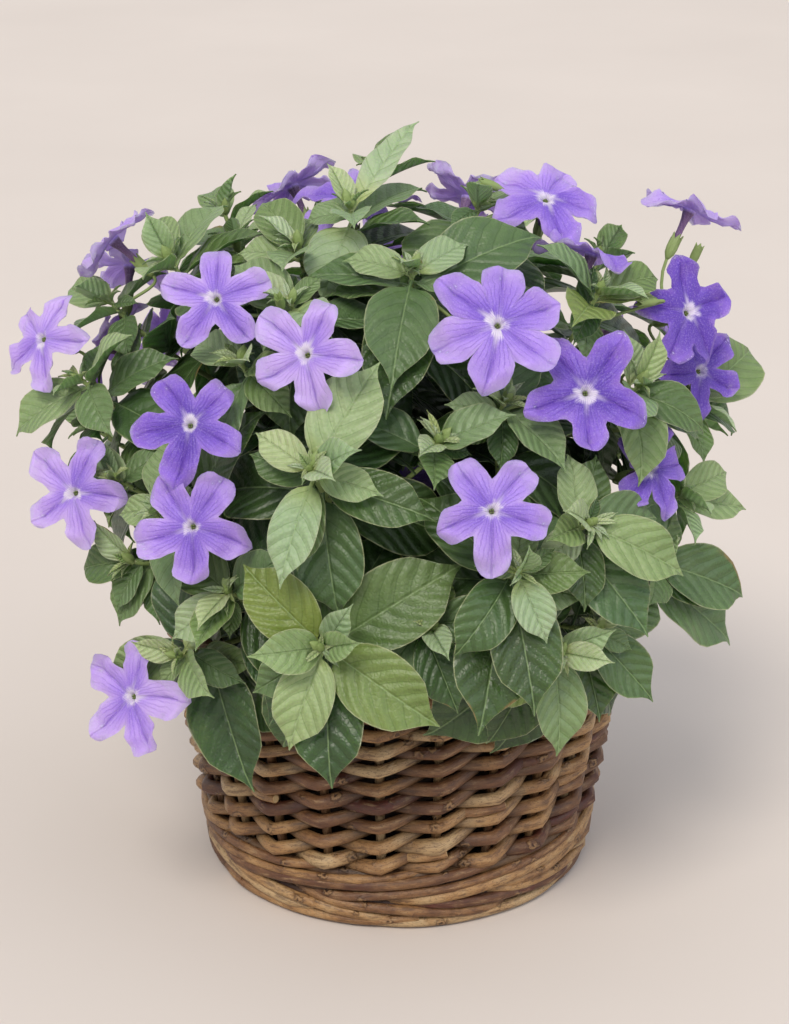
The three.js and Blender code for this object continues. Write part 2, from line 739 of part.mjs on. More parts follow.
function leafSolid(leaf) {
  const sunk = sub(leaf.root, times(leaf.along, LEAF_SUNK));
  return loft(leafRings(leaf, leaf.outline, 0), midrib(leaf, 1).point, sunk);
}

// The leaf a little enlarged, from a share of its length onwards.
function leafRoom(leaf, from) {
  const rings = leafRings(leaf, [from, 0.35, 0.68], LEAF_CLEAR);
  return loft(rings, midrib(leaf, 1 + 1.5 / leaf.long).point);
}

function outlineFor(long) {
  if (long < 26) return SMALL;
  return long < 42 ? MIDDLE : LARGE;
}

// A leaf by its place in the spiral round a shoot. Its upper face looks to the shoot's tip,
// and partly to the light.
function leafOn(shoot, row, number, draws, [shrink, turn, lift]) {
  const t = backFromTip(shoot, row.back);
  const root = onShoot(shoot, t);
  const d = heading(shoot.p, t);
  const x = flat(Math.abs(d[2]) > 0.95 ? [0, 1, 0] : UP, d);
  const y = cross(d, x);
  const spiral = shoot.phase + GOLDEN_ANGLE * number;
  const around = radians(spiral + 24 * (draws[0] - 0.5) + turn);
  const open = radians(row.open + 14 * (draws[1] - 0.5) + lift);
  const out = add(times(x, Math.cos(around)), times(y, Math.sin(around)));
  const sag = [0, 0, -0.22 * Math.sin(open)];
  const straight = add(times(d, Math.cos(open)), times(out, Math.sin(open)));
  const along = unit(add(straight, sag));
  const inner = sub(times(d, Math.sin(open)), times(out, Math.cos(open)));
  const light = unit(add(unit(sub(root, HEART)), [0, 0, 0.5]));
  const face = flat(add(inner, times(light, 0.7)), along);
  const long = row.long * (0.9 + 0.2 * draws[2]) * shrink;
  return {
    root,
    along,
    face,
    side: cross(face, along),
    long,
    wide: long * LEAF_ASPECT * (0.93 + 0.14 * draws[3]),
    droop: radians(row.droop * (0.8 + 0.4 * draws[3])),
    fold: radians(row.fold),
    outline: outlineFor(long),
    node: shoot.node,
  };
}

// A leaf by where its tip is seen: it lies in a plane through its root that faces outwards
// and partly to the viewer, and the tip is where the line of sight meets that plane.
function leafTo(shoot, row, draws, [shrink, toViewer, bend]) {
  const root = onShoot(shoot, backFromTip(shoot, row.back));
  const light = add(unit(sub(root, HEART)), [0, 0, 0.2]);
  const n = unit(add(light, times(VIEWER, toViewer)));
  const [near, far] = [seen(row.right, row.up, -100), seen(row.right, row.up, 0)];
  const sight = sub(far, near);
  const tip = add(near, times(sight, dot(sub(root, near), n) / dot(sight, n)));
  const chord = times(sub(tip, root), shrink);
  const droop = radians(bend);
  const long = (size(chord) * droop) / 2 / Math.sin(droop / 2);
  const straight = unit(chord);
  const along = add(
    times(straight, Math.cos(droop / 2)),
    times(n, Math.sin(droop / 2)),
  );
  const face = flat(n, along);
  return {
    root,
    along,
    face,
    side: cross(face, along),
    long,
    wide: long * (row.aspect ?? LEAF_ASPECT * (0.95 + 0.1 * draws[0])),
    droop,
    fold: radians(16),
    outline: outlineFor(long),
    node: shoot.node,
  };
}

// Keep-out shapes: closed meshes a little larger than the piece, tested edge against face.
function keepOut(mesh, node, shoot) {
  const pairs = [];
  for (const [a, b, c] of mesh.f)
    for (const [i, j] of [
      [a, b],
      [b, c],
      [c, a],
    ])
      if (i < j) pairs.push([i, j]);
  const centre = times(mesh.v.reduce(add), 1 / mesh.v.length);
  const radius = Math.max(...mesh.v.map((p) => size(sub(p, centre))));
  return { mesh, pairs, centre, radius, node, shoot };
}

function edgeHits(p, q, a, b, c) {
  const d = sub(q, p);
  const e1 = sub(b, a);
  const e2 = sub(c, a);
  const h = cross(d, e2);
  const det = dot(e1, h);
  if (Math.abs(det) < 1e-9) return false;
  const s = sub(p, a);
  const u = dot(s, h) / det;
  if (u < 0 || u > 1) return false;
  const k = cross(s, e1);
  const w = dot(d, k) / det;
  if (w < 0 || u + w > 1) return false;
  const t = dot(e2, k) / det;
  return t >= 0 && t <= 1;
}

function pierces(one, other) {
  const { v, f } = other.mesh;
  const crosses = (p, q) => f.some(([a, b, c]) => edgeHits(p, q, v[a], v[b], v[c]));
  return one.pairs.some(([i, j]) => crosses(one.mesh.v[i], one.mesh.v[j]));
}

function meets(one, other) {
  if (size(sub(one.centre, other.centre)) > one.radius + other.radius) return false;
  return pierces(one, other) || pierces(other, one);
}

const BLOOM_NODE = 1000; // blooms are nodes of their own
const WALL_NODE = 2000;
const taken = [];
const blooms = BLOOMS.map(bloomFrame);
blooms.forEach((bloom, i) => {
  taken.push(keepOut(bloomSolid(bloom, BLOOM_CLEAR), BLOOM_NODE + i));
});
const wallRing = [
  [93, SOIL_Z + 6],
  [96.5, RIM_Z + RIM_ROPE_R + 2],
  [112.5, RIM_Z + RIM_ROPE_R + 2],
  [114, RIM_Z - RIM_ROPE_R],
  [94.5, 0],
];
const wallRings = [];
for (let i = 0; i < 24; i++)
  wallRings.push(wallRing.map(([r, z]) => polar(r, (Math.PI * i) / 12, z)));
const wall = keepOut(loop(wallRings), WALL_NODE);

// The first try whose keep-out shape meets nothing of another node, or else the first.
function firstClear(tries, make, shapeOf) {
  for (const attempt of tries) {
    const made = make(attempt);
    const shape = shapeOf(made);
    const blocks = (other) => other.node !== shape.node && meets(shape, other);
    if (!taken.some(blocks) && !meets(shape, wall)) return [made, shape];
  }
  const made = make(tries[0]);
  return [made, shapeOf(made)];
}

const shoots = [];
const stemShape = (shoot) =>
  keepOut(shootSolid(shoot, STEM_CLEAR), shoot.node, shoots.length);
STEMS.forEach((stem, node) => {
  const tries = [0, 7, -7, 14, -14, 21, -21, 30, -30];
  const [shoot, shape] = firstClear(tries, (a) => rootedShoot(stem, node, a), stemShape);
  shoots.push(shoot);
  taken.push(shape);
});
for (const branch of BRANCHES) {
  const parent = shoots[branch.on];
  const tries = [0, 10, -10, 20, 30, -20];
  const [shoot, shape] = firstClear(tries, (a) => branchShoot(branch, parent, a), stemShape);
  shoots.push(shoot);
  taken.push(shape);
}
for (const bloom of blooms) {
  const shoot = shoots[bloom.on];
  bloom.node = shoot.node;
  const tries = [0, 8, -5, 16, 24, 32, 42];
  const make = (attempt) => stalkCurve(bloom, shoot, attempt);
  const shapeOf = (stalk) => keepOut(stalkSolid(stalk, bloom.n, STALK_CLEAR), bloom.node);
  // The calyx meets its own bloom, so that one is left out of the test.
  const own = taken[blooms.indexOf(bloom)];
  own.node = bloom.node;
  const [stalk, shape] = firstClear(tries, make, shapeOf);
  own.node = BLOOM_NODE + blooms.indexOf(bloom);
  bloom.stalk = stalk;
  taken.push(shape);
}

// Where a leaf meets nothing it should clear: its keep-out shape, or null. Leaves of one
// stem share a node, so of those only the blades are kept apart.
const BARE = 0.16;
function clears(leaf, shootNumber) {
  const whole = keepOut(leafRoom(leaf, 0.04), leaf.node);
  const inPot = ([x, y, z]) => Math.hypot(x, y) < 98 && z < SOIL_Z + SOIL_MOUND + 3;
  if (whole.mesh.v.some((p) => p[2] < 4 || inPot(p))) return null;
  const blade = keepOut(leafRoom(leaf, BARE), leaf.node);
  if (meets(whole, wall)) return null;
  for (const other of taken) {
    const same = other.node === leaf.node;
    if (!same && meets(whole, other)) return null;
    if (same && other.shoot !== shootNumber && meets(blade, other.blade ?? other))
      return null;
  }
  whole.blade = blade;
  return whole;
}

const leaves = [];
function placeLeaf(shootNumber, tries, make) {
  for (const attempt of tries) {
    const leaf = make(attempt);
    if (leaf.long > LONGEST_LEAF) continue;
    const shape = clears(leaf, shootNumber);
    if (!shape) continue;
    taken.push(shape);
    leaves.push(leaf);
    return;
  }
}

// What a leaf may do to clear its neighbours: shrink, turn round the stem, and lift.
const TURNS = [0, 18, -20].flatMap((lift) => [0, 26, -26, 52, -52].map((turn) => [turn, lift]));
const TRIES = [1, 0.85, 0.7].flatMap((shrink) => TURNS.map((turn) => [shrink, ...turn]));
// What a leaf placed by its tip may do: shrink, face the viewer more or less, and bend.
const POSES = [0.8, 0.3, 1.6, 3].flatMap((facing) => [40, 15, 65].map((bend) => [facing, bend]));
const SEEN_TRIES = [1, 0.9, 0.8].flatMap((shrink) => POSES.map((pose) => [shrink, ...pose]));
for (const [on, back, right, up, aspect] of LEAF_TIPS) {
  const draws = [draw(), draw()];
  placeLeaf(on, SEEN_TRIES, (attempt) =>
    leafTo(shoots[on], { back, right, up, aspect }, draws, attempt),
  );
}
LEAF_ROWS.forEach((row, number) =>
  shoots.forEach((shoot, i) => {
    const draws = [draw(), draw(), draw(), draw()];
    if (row.back > shoot.length - 8) return;
    placeLeaf(i, TRIES, (attempt) => leafOn(shoot, row, number, draws, attempt));
  }),
);

// Nodes of the plant.
const LEAF_GREEN = 0x5f7a4e;
const PETAL_VIOLET = 0x8c6cc9;
const two = (i) => String(i + 1).padStart(2, "0");
STEMS.forEach((_, node) => {
  const pieces = shoots.filter((s) => s.node === node).map((s) => shootSolid(s, 0));
  for (const { stalk, n } of blooms.filter((b) => b.node === node))
    pieces.push(stalkSolid(stalk, n, 0));
  pieces.push(...leaves.filter((leaf) => leaf.node === node).map(leafSolid));
  const made = joined(pieces.map(asManifold));
  addNode(`leafy_stem_${two(node)}`, fromManifold(made), LEAF_GREEN, 0.6);
});
blooms.forEach((bloom, i) => {
  const made = asManifold(bloomSolid(bloom, 0));
  addNode(`bloom_${two(i)}`, fromManifold(made), PETAL_VIOLET, 0.55);
});

// Grow pot, and the compost with a plain hole for each stem.
const potR = (z) =>
  POT_FOOT_R + ((POT_TOP_R - POT_FOOT_R) * (z - BASE_T)) / (POT_TOP_Z - BASE_T);
const POT_Z = BASE_T + GAP;
const pot = turned(
  [
    [0, POT_Z],
    [POT_FOOT_R, POT_Z],
    [POT_TOP_R, POT_TOP_Z],
    [POT_TOP_R - POT_WALL, POT_TOP_Z],
    [POT_FOOT_R - POT_WALL, POT_Z + POT_WALL],
    [0, POT_Z + POT_WALL],
  ],
  POT_SEGMENTS,
);
addNode("grow_pot", fromManifold(asManifold(pot)), 0x3a2d26, 0.5);

const soilEdge = potR(SOIL_Z) - POT_WALL - 2 * GAP;
const soilSolid = turned(
  [
    [0, POT_Z + POT_WALL + GAP],
    [POT_FOOT_R - POT_WALL - 2 * GAP, POT_Z + POT_WALL + GAP],
    [soilEdge, SOIL_Z],
    [soilEdge * 0.8, SOIL_Z + SOIL_MOUND],
    [0, SOIL_Z + SOIL_MOUND],
  ],
  POT_SEGMENTS,
);
const holes = shoots
  .filter((s) => s.rooted)
  .map((s) => {
    const foot = sub(s.p[0], [0, 0, STEM_DEPTH + GAP]);
    const mouth = add(s.p[0], [0, 0, 3]);
    const r = STEM_ROOT_R + 2 * GAP;
    return asManifold(rod([foot, mouth], [r, r], STEM_SIDES));
  });
const soil = asManifold(soilSolid).subtract(wasm.Manifold.union(holes));
addNode("compost", fromManifold(soil), 0x2e2119, 0.95);

export default part;
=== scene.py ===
"""Bush violet in full flower, in a grow pot of compost inside a woven willow basket.

Lengths are worked out in millimetres, +Z up, the viewer towards -Y, and turned to metres
as each piece is made. Every surface is a grid of points: rings, one after another, of
equally many points each.
"""

import math
from functools import partial
from itertools import product
from types import SimpleNamespace

import bpy
import numpy as np
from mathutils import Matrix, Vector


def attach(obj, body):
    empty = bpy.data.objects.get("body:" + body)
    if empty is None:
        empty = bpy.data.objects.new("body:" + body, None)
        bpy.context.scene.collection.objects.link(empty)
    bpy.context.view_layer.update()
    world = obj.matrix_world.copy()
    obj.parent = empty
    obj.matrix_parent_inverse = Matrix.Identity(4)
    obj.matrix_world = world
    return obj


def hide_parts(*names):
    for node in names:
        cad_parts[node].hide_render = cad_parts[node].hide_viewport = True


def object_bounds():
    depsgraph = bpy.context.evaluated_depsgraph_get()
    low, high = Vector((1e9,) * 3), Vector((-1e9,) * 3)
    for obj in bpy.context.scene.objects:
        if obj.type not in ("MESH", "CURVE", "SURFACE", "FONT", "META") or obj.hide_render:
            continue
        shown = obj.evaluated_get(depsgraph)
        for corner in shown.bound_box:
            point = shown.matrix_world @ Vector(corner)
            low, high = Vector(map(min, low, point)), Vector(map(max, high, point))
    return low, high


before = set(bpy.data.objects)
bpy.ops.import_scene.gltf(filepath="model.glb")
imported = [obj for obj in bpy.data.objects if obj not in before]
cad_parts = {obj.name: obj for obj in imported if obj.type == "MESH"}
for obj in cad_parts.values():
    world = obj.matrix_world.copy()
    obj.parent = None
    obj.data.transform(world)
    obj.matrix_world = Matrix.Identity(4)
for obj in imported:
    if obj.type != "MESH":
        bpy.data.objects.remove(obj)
CAD_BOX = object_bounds()
BOX_LOW, BOX_HIGH = (np.array(corner) * 1000 for corner in CAD_BOX)

# Sizes, in millimetres

# Basket.
STAKES = 23
FIRST_STAKE = math.radians(-95)
FOOT_STAKE_R = 85.5
RIM_STAKE_R = 104.5
BASE_R = 78
BASE_TURNS = 14.6  # of the rod that winds round the base
BASE_STEP = 5.05
BASE_ROD_R = 2.45
BASE_STICKS = 4
BASE_STICK_R = 1.9
BASE_STICK_Z = 3.4
BASE_T = 5.4
STAKE_R = 2.0
WEAVE_SWING = 5.5
ROD_R = 3.05
FOOT_Z = 2.8
WEAVE_Z = 35.3
WEAVE_CLIMB = 5.77  # of a rod from stake to stake, at first
WEAVE_EASE = 0.045  # off its height, times the square of the stakes it has passed
WEAVE_STROKES = 17
WEAVE_SAG = 0.8
RIM_Z = 124.6
RIM_ROPE_R = 6
RIM_ROD_R = 2.95
RIM_TWIST_R = 3.0
RIM_TWISTS = 20

# Grow pot and compost.
POT_FOOT_R = 71
POT_TOP_R = 93.5
POT_TOP_Z = 116
POT_WALL = 1.8
SOIL_Z = 104
SOIL_MOUND = 5
CRUMBS = 260
STEM_DEPTH = 20

# Room left round a piece that another must clear.
STEM_CLEAR = 1.1
STALK_CLEAR = 0.8
BLOOM_CLEAR = 1.6
LEAF_CLEAR = 0.9

# Plant. Shoots root between ROOT_R and ROOT_DRAW further in, by how high their tips are.
ROOT_R = 58
ROOT_DRAW = 44
LOW_TIP = 120
TIP_RANGE = 220
STEM_ROOT_R = 2.3
STEM_TIP_R = 1.3
BRANCH_ROOT_R = 1.5
CROWN_AT = np.array([-4.0, 0, 155])
CROWN_R = np.array([158.0, 150, 185])
HEART = np.array([0.0, 0, 140])
GOLDEN_ANGLE = 137.5
PETIOLE = 0.1
LEAF_ASPECT = 0.27
LONGEST_LEAF = 74
LOWEST_LEAF = 4
NO_LEAF_R = 98  # within it no leaf hangs down to the compost
LEAF_MID = 0.75
LEAF_STALK = 0.9
LEAF_SUNK = 1.2
BRACTS = 6
# Distance from the shoot's tip, length, angle from the stem, droop over its length, fold.
LEAF_ROWS = [
    (2, 25, 34, 14, 28), (5, 37, 56, 24, 22), (10, 48, 70, 36, 18), (18, 58, 80, 44, 15),
    (31, 63, 86, 50, 13),
]
THROAT_R = 3.2
TUBE_LONG = 15
TUBE_R = 1.5
CALYX_LONG = 10
CALYX_R = 2.7
PETAL_MID = 0.65

# The viewer looks down by PITCH from DEPTH away. The line of sight passes AXIS_X to the
# left of the foot's centre and -AXIS_UP above it.
PITCH = math.radians(21.2)
DEPTH = 1209
AXIS_X = 1.75
AXIS_UP = -160.5

UP = np.array([0.0, 0, 1])
RIGHT = np.array([1.0, 0, 0])
VIEWER = np.array([0, -math.cos(PITCH), math.sin(PITCH)])


def seen(right, up, y):
    """The point seen that far right of and above the foot's centre, at its real y."""
    sin, cos = math.sin(PITCH), math.cos(PITCH)
    nearer = (up * sin - y) / (cos + ((up + AXIS_UP) * sin) / DEPTH)
    shrink = nearer / DEPTH
    x = right - shrink * (right + AXIS_X)
    rise = up - shrink * (up + AXIS_UP)
    return np.array([x, y, rise * cos + nearer * sin])


def place(at):
    """A place given as it is seen or, by compass angle and height angle, on the crown."""
    if len(at) == 3:
        return seen(*at)
    t, e = math.radians(at[0]), math.radians(at[1])
    ball = np.array([math.cos(e) * math.cos(t), math.cos(e) * math.sin(t), math.sin(e)])
    return CROWN_AT + CROWN_R * ball


# Shoots that rise from the compost: tip, and the angle at which their leaves start.
STEMS = [
    ((-24, 314, -25), 40), ((7, 282, -70), 150), ((40, 314, -8), 200), ((-114, 287, -20), 80),
    ((-81, 297, 8), 20), ((-54, 266, -82), 110), ((-44, 182, -138), 250), ((-38, 92, -152), 300),
    ((61, 130, -148), 10), ((96, 155, -128), 60), ((100, 102, -118), 330), ((142, 170, -60), 120),
    ((101, 271, -60), 190), ((-159, 227, -30), 220), ((-141, 177, -60), 140), ((-110, 89, -105), 70),
    ((-79, 236, -92), 280), ((20, 16), 90), ((58, 44), 170), ((88, 10), 350), ((95, 66), 230),
    ((128, 40), 30), ((162, 14), 310), ((54, 6), 100),
]
# Shoots that branch from one of them: the parent's number, tip, angle.
BRANCHES = [
    (5, (-50, 294, -42), 15), (6, (21, 196, -112), 130), (7, (16, 104, -138), 200),
    (9, (53, 216, -106), 75), (10, (81, 90, -138), 260), (11, (131, 136, -70), 20),
    (12, (121, 224, -72), 320), (12, (151, 216, -18), 160), (3, (-144, 266, 2), 240),
    (14, (-134, 136, -72), 50), (15, (-85, 121, -122), 180), (16, (-118, 162, -94), 290),
    (17, (28, 44), 60), (20, (75, 30), 210), (21, (152, 56), 340), (21, (112, 24), 110),
    (22, (132, 4), 270), (19, (104, -8), 10),
]
# Blooms: throat, facing, petal length, angle of the first petal, shoot, depth of colour.
BLOOMS = [
    ((-178, 247, -22), (-0.55, -0.7, 0.45), 24, 60, 13, 0.1),
    ((-143, 297, 8), (-0.74, 0.16, 0.65), 25, 20, 32, 0.3),
    ((-134, 284, 34), (0.05, 0.5, 0.86), 23, 50, 32, 0.45),
    ((-91, 267, -84), (-0.15, -0.85, 0.5), 24, 90, 5, 0.35),
    ((-46, 239, -118), (-0.4, -0.82, 0.42), 25, 64, 5, 0.03),
    ((-104, 204, -112), (-0.05, -0.8, 0.6), 25, 44, 16, 0.75),
    ((-162, 170, -62), (-0.45, -0.78, 0.42), 26, 67, 14, 0.2),
    ((-103, 153, -128), (-0.25, -0.9, 0.32), 26, 56, 35, 0.5),
    ((-133, 68, -104), (-0.6, -0.74, 0.3), 27, 74, 15, 0.15),
    ((-22, 317, 14), (0, -0.25, 0.97), 29, 80, 0, 0.55), ((0, 170, -72), (0.1, -0.8, 0.6), 22, 30, 1, 0.5),
    ((47, 161, -148), (0.05, -0.85, 0.52), 26, 54, 8, 0.4),
    ((50, 254, -112), (0.1, -0.8, 0.6), 30, 82, 1, 0.42),
    ((74, 317, -18), (0.12, -0.5, 0.86), 27, 70, 2, 0.45),
    ((97, 290, -36), (0.28, 0.35, 0.9), 26, 10, 12, 0.7),
    ((94, 220, -114), (0.15, -0.85, 0.5), 28, 54, 27, 0.73),
    ((146, 312, 6), (0.42, 0.33, 0.84), 24, 0, 31, 0.35),
    ((145, 260, -42), (0.52, -0.74, 0.42), 26, 100, 31, 1.1),
    ((151, 231, -24), (0.5, -0.72, 0.46), 23, 50, 31, 0.95),
    ((127, 182, -88), (0.55, -0.7, 0.45), 23, 85, 11, 0.85),
    ((40, 26), (0.75, 0.55, 0.35), 25, 30, 36, 0.5), ((66, 54), (0.3, 0.65, 0.7), 27, 80, 18, 0.2),
    ((92, 38), (0.05, 0.8, 0.6), 26, 55, 37, 0.6), ((104, 8), (-0.2, 0.9, 0.38), 25, 75, 19, 0.3),
    ((126, 60), (-0.4, 0.5, 0.77), 26, 40, 21, 0.45), ((142, 26), (-0.7, 0.62, 0.36), 25, 10, 40, 0.8),
    ((170, 30), (-0.9, 0.25, 0.35), 26, 66, 22, 0.3), ((72, 8), (0.35, 0.88, 0.32), 24, 20, 19, 0.65),
    ((8, 30), (0.9, 0.1, 0.42), 26, 88, 17, 0.4),
]
# Calyxes of fallen flowers: foot, facing, shoot.
SPENT = [
    ((146, 283, 0), (0.35, -0.1, 0.94), 31), ((52, 322, -12), (-0.9, -0.2, 0.35), 2),
    ((130, 266, -52), (-0.85, -0.5, 0.1), 12), ((-80, 290, -4), (-0.1, -0.4, 0.9), 4),
    ((-58, 262, -88), (-0.1, -0.7, 0.7), 5),
]
FORKS = {10: 0.6}  # where the stalk of that bloom leaves its shoot, if not near the tip
SIX_PETALS = (12,)

# Leaves placed by their tips: shoot, distance back from its tip, where the leaf's tip is
# seen, and, if given, half the width over the length.
LEAF_TIPS = [
    (0, 4, 15, 356, 0.2), (0, 5, -47, 305, 0.34), (0, 8, -39, 264), (1, 4, 36, 294), (1, 4, -28, 287),
    (1, 6, -5, 222), (1, 14, 73, 299), (2, 3, 26, 302), (3, 3, -120, 308), (3, 5, -86, 315),
    (3, 4, -126, 280), (4, 1, -71, 315, 0.18), (4, 6, -70, 304), (24, 4, -68, 316), (24, 8, -81, 290),
    (5, 4, -38, 278), (5, 10, -66, 233), (5, 9, -82, 285), (16, 1, -87, 245, 0.16), (16, 8, -53, 208),
    (13, 6, -192, 198), (13, 5, -143, 198), (13, 7, -147, 246), (13, 14, -110, 238), (32, 3, -166, 271),
    (32, 3, -130, 265), (32, 14, -137, 254), (32, 10, -135, 236), (6, 4, -9, 236), (6, 4, -72, 200),
    (6, 5, -7, 169), (6, 9, -61, 122), (6, 14, -75, 189), (6, 16, 22, 164), (7, 5, -78, 135),
    (7, 18, 33, 136), (7, 6, 24, 52), (7, 4, -56, 41), (7, 12, -35, 21), (7, 10, -77, 66),
    (7, 20, -64, 142), (15, 3, -87, 115, 0.18), (15, 8, -151, 79), (15, 8, -76, 75), (15, 18, -69, 12),
    (15, 16, -151, 28), (34, 8, -113, 96), (34, 10, -84, 97), (14, 4, -115, 190), (14, 10, -163, 190),
    (14, 2, -147, 194, 0.18), (35, 5, -140, 159), (35, 1, -115, 178, 0.2), (33, 8, -141, 111),
    (33, 14, -140, 103), (33, 6, -158, 131), (33, 16, -120, 104), (8, 2, 79, 142, 0.2),
    (8, 2, 38, 133, 0.2), (8, 4, 74, 94), (8, 12, 69, 58), (8, 20, 40, 39), (8, 14, 28, 87),
    (26, 8, 30, 59), (26, 4, 17, 95), (26, 10, 28, 129), (9, 1, 100, 168, 0.2), (9, 4, 144, 129),
    (9, 7, 69, 131), (9, 12, 93, 110), (9, 18, 126, 98), (9, 10, 85, 190), (10, 3, 85, 85),
    (10, 3, 117, 91), (10, 8, 129, 66), (10, 9, 131, 47), (10, 14, 101, 55), (11, 3, 165, 181),
    (11, 6, 175, 162, 0.2), (29, 6, 174, 118), (29, 10, 162, 117), (29, 14, 173, 88), (30, 12, 121, 173),
    (30, 8, 154, 200), (31, 10, 153, 184), (31, 8, 168, 199), (31, 4, 180, 247), (27, 10, 51, 181),
    (27, 14, 29, 196), (27, 9, 23, 214), (25, 6, 37, 189), (12, 4, 131, 277), (12, 8, 88, 244),
    (12, 16, 101, 295),
]

# Where everything grows


def cross(a, b):
    return np.array([a[1] * b[2] - a[2] * b[1], a[2] * b[0] - a[0] * b[2], a[0] * b[1] - a[1] * b[0]])


def size(a):
    return math.sqrt(a[0] * a[0] + a[1] * a[1] + a[2] * a[2])


def unit(a):
    return a * (1 / size(a))


def flat(a, n):
    """a turned into the plane of normal n."""
    return unit(a - n * float(a @ n))


def turned(a, b, angle):
    """The direction a turned towards b, which is square to it."""
    return a * math.cos(angle) + b * math.sin(angle)


class Draws:
    """Seeded draws from 0 to 1."""

    def __init__(self, seed):
        self.seed = seed

    def __call__(self):
        self.seed = (self.seed * 1664525 + 1013904223) & 0xFFFFFFFF
        return self.seed / 4294967296


def bezier(p, t):
    s = 1 - t
    return p[0] * (s * s * s) + p[1] * (3 * s * s * t) + p[2] * (3 * s * t * t) + p[3] * (t * t * t)


def heading(p, t):
    """The direction of a curve at its parameter t."""
    s = 1 - t
    return unit((p[1] - p[0]) * (s * s) + (p[2] - p[1]) * (2 * s * t) + (p[3] - p[2]) * (t * t))


PATH_SAMPLES = 24


def measured(p, node, phase, rooted):
    """A shoot, with its reach at equal steps of its curve and its number of straight steps."""
    reach = [0.0]
    for i in range(1, PATH_SAMPLES + 1):
        step = bezier(p, i / PATH_SAMPLES) - bezier(p, (i - 1) / PATH_SAMPLES)
        reach.append(reach[-1] + size(step))
    shoot = SimpleNamespace(p=p, node=node, phase=phase, rooted=rooted)
    shoot.reach, shoot.length, shoot.steps = reach, reach[-1], 5 if rooted else 3
    return shoot


def back_from_tip(shoot, back):
    """The curve's parameter at a distance back from the tip."""
    target = max(0, shoot.length - back)
    reach = shoot.reach
    i = 1
    while i < PATH_SAMPLES and reach[i] < target:
        i += 1
    return (i - 1 + (target - reach[i - 1]) / (reach[i] - reach[i - 1])) / PATH_SAMPLES


def on_shoot(shoot, t):
    """A point on the straight steps between points of the shoot's curve."""
    steps = shoot.steps
    i = min(steps - 1, math.floor(t * steps))
    a, b = bezier(shoot.p, i / steps), bezier(shoot.p, (i + 1) / steps)
    k = t * steps - i
    return a * (1 - k) + b * k


def lean_at(tip):
    """The way a shoot points at its tip: out of the crown and a little up."""
    return unit(unit(tip - HEART) + np.array([0, 0, 0.25]))


def polar(r, turn, z):
    return np.array([r * math.cos(turn), r * math.sin(turn), z])


def rooted_shoot(stem, node, attempt):
    """A shoot that rises from the compost, the nearer its middle the higher its tip is."""
    tip, phase = place(stem[0]), stem[1]
    level = min(1, max(0, (tip[2] - LOW_TIP) / TIP_RANGE))
    turn = math.atan2(tip[1], tip[0]) + math.radians(attempt)
    root = polar(ROOT_R - ROOT_DRAW * level, turn, SOIL_Z + SOIL_MOUND)
    far = size(tip - root)
    lift = np.array([0, 0, 0.42 * far])
    p = [root, root + lift, tip - lean_at(tip) * (0.36 * far), tip]
    return measured(p, node, phase, True)


def branch_shoot(branch, parent, attempt):
    """A shoot that leaves its parent about halfway and ends at a tip of its own."""
    tip, phase = place(branch[1]), branch[2]
    fork = 0.45 + attempt / 100
    start = on_shoot(parent, fork)
    far = size(tip - start)
    p = [start, start + heading(parent.p, fork) * (0.35 * far), tip - lean_at(tip) * (0.36 * far), tip]
    return measured(p, parent.node, phase, False)


FACES = {}


def loft_faces(rings, around, tip):
    """Triangles and edges of a loft: its start closed flat, its end flat or to a point."""
    key = (rings, around, tip)
    if key in FACES:
        return FACES[key]
    f = []
    for i in range(rings - 1):
        for j in range(around):
            a, b = i * around + j, i * around + (j + 1) % around
            f += [(a, b, b + around), (a, b + around, a + around)]
    f += [(0, j + 1, j) for j in range(1, around - 1)]
    last = (rings - 1) * around
    if tip:
        f += [(last + j, last + (j + 1) % around, rings * around) for j in range(around)]
    else:
        f += [(last, last + j, last + j + 1) for j in range(1, around - 1)]
    FACES[key] = (np.array(f), edges_of(f))
    return FACES[key]


def edges_of(f):
    return np.array(sorted({tuple(sorted(e)) for a, b, c in f for e in ((a, b), (b, c), (c, a))}))


class Room:
    """A closed mesh that others keep out of: its edges, its triangles and its box."""

    def __init__(self, v, faces, edges):
        self.v = v
        self.p, self.q = v[edges[:, 0]], v[edges[:, 1]]
        self.a, self.b, self.c = v[faces[:, 0]], v[faces[:, 1]], v[faces[:, 2]]
        self.low, self.high = v.min(0), v.max(0)


def loft_room(rings, tip=None):
    v = np.concatenate(rings + ([tip[None]] if tip is not None else []))
    faces, edges = loft_faces(len(rings), len(rings[0]), tip is not None)
    return Room(v, faces, edges)


def spokes(count, across, side):
    """Directions evenly round, in the plane of two that are square to each other."""
    turns = 2 * np.pi * np.arange(count)[:, None] / count
    return np.cos(turns) * across + np.sin(turns) * side


def rod_room(points, radii):
    """A three-sided rod along points, with a radius at each."""
    across, rings = None, []
    for i, point in enumerate(points):
        along = unit(points[min(len(points) - 1, i + 1)] - points[max(0, i - 1)])
        if across is None:
            across = RIGHT if abs(along[2]) > 0.9 else UP
        across = flat(across, along)
        rings.append(point + radii[i] * spokes(3, across, cross(along, across)))
    return loft_room(rings)


def shoot_room(shoot):
    steps = shoot.steps
    root_r = STEM_ROOT_R if shoot.rooted else BRANCH_ROOT_R
    points = [bezier(shoot.p, i / steps) for i in range(steps + 1)]
    radii = [root_r + ((STEM_TIP_R - root_r) * i) / steps + STEM_CLEAR for i in range(steps + 1)]
    if shoot.rooted:
        points.insert(0, points[0] - np.array([0, 0, STEM_DEPTH]))
        radii.insert(0, radii[0])
    return rod_room(points, radii)


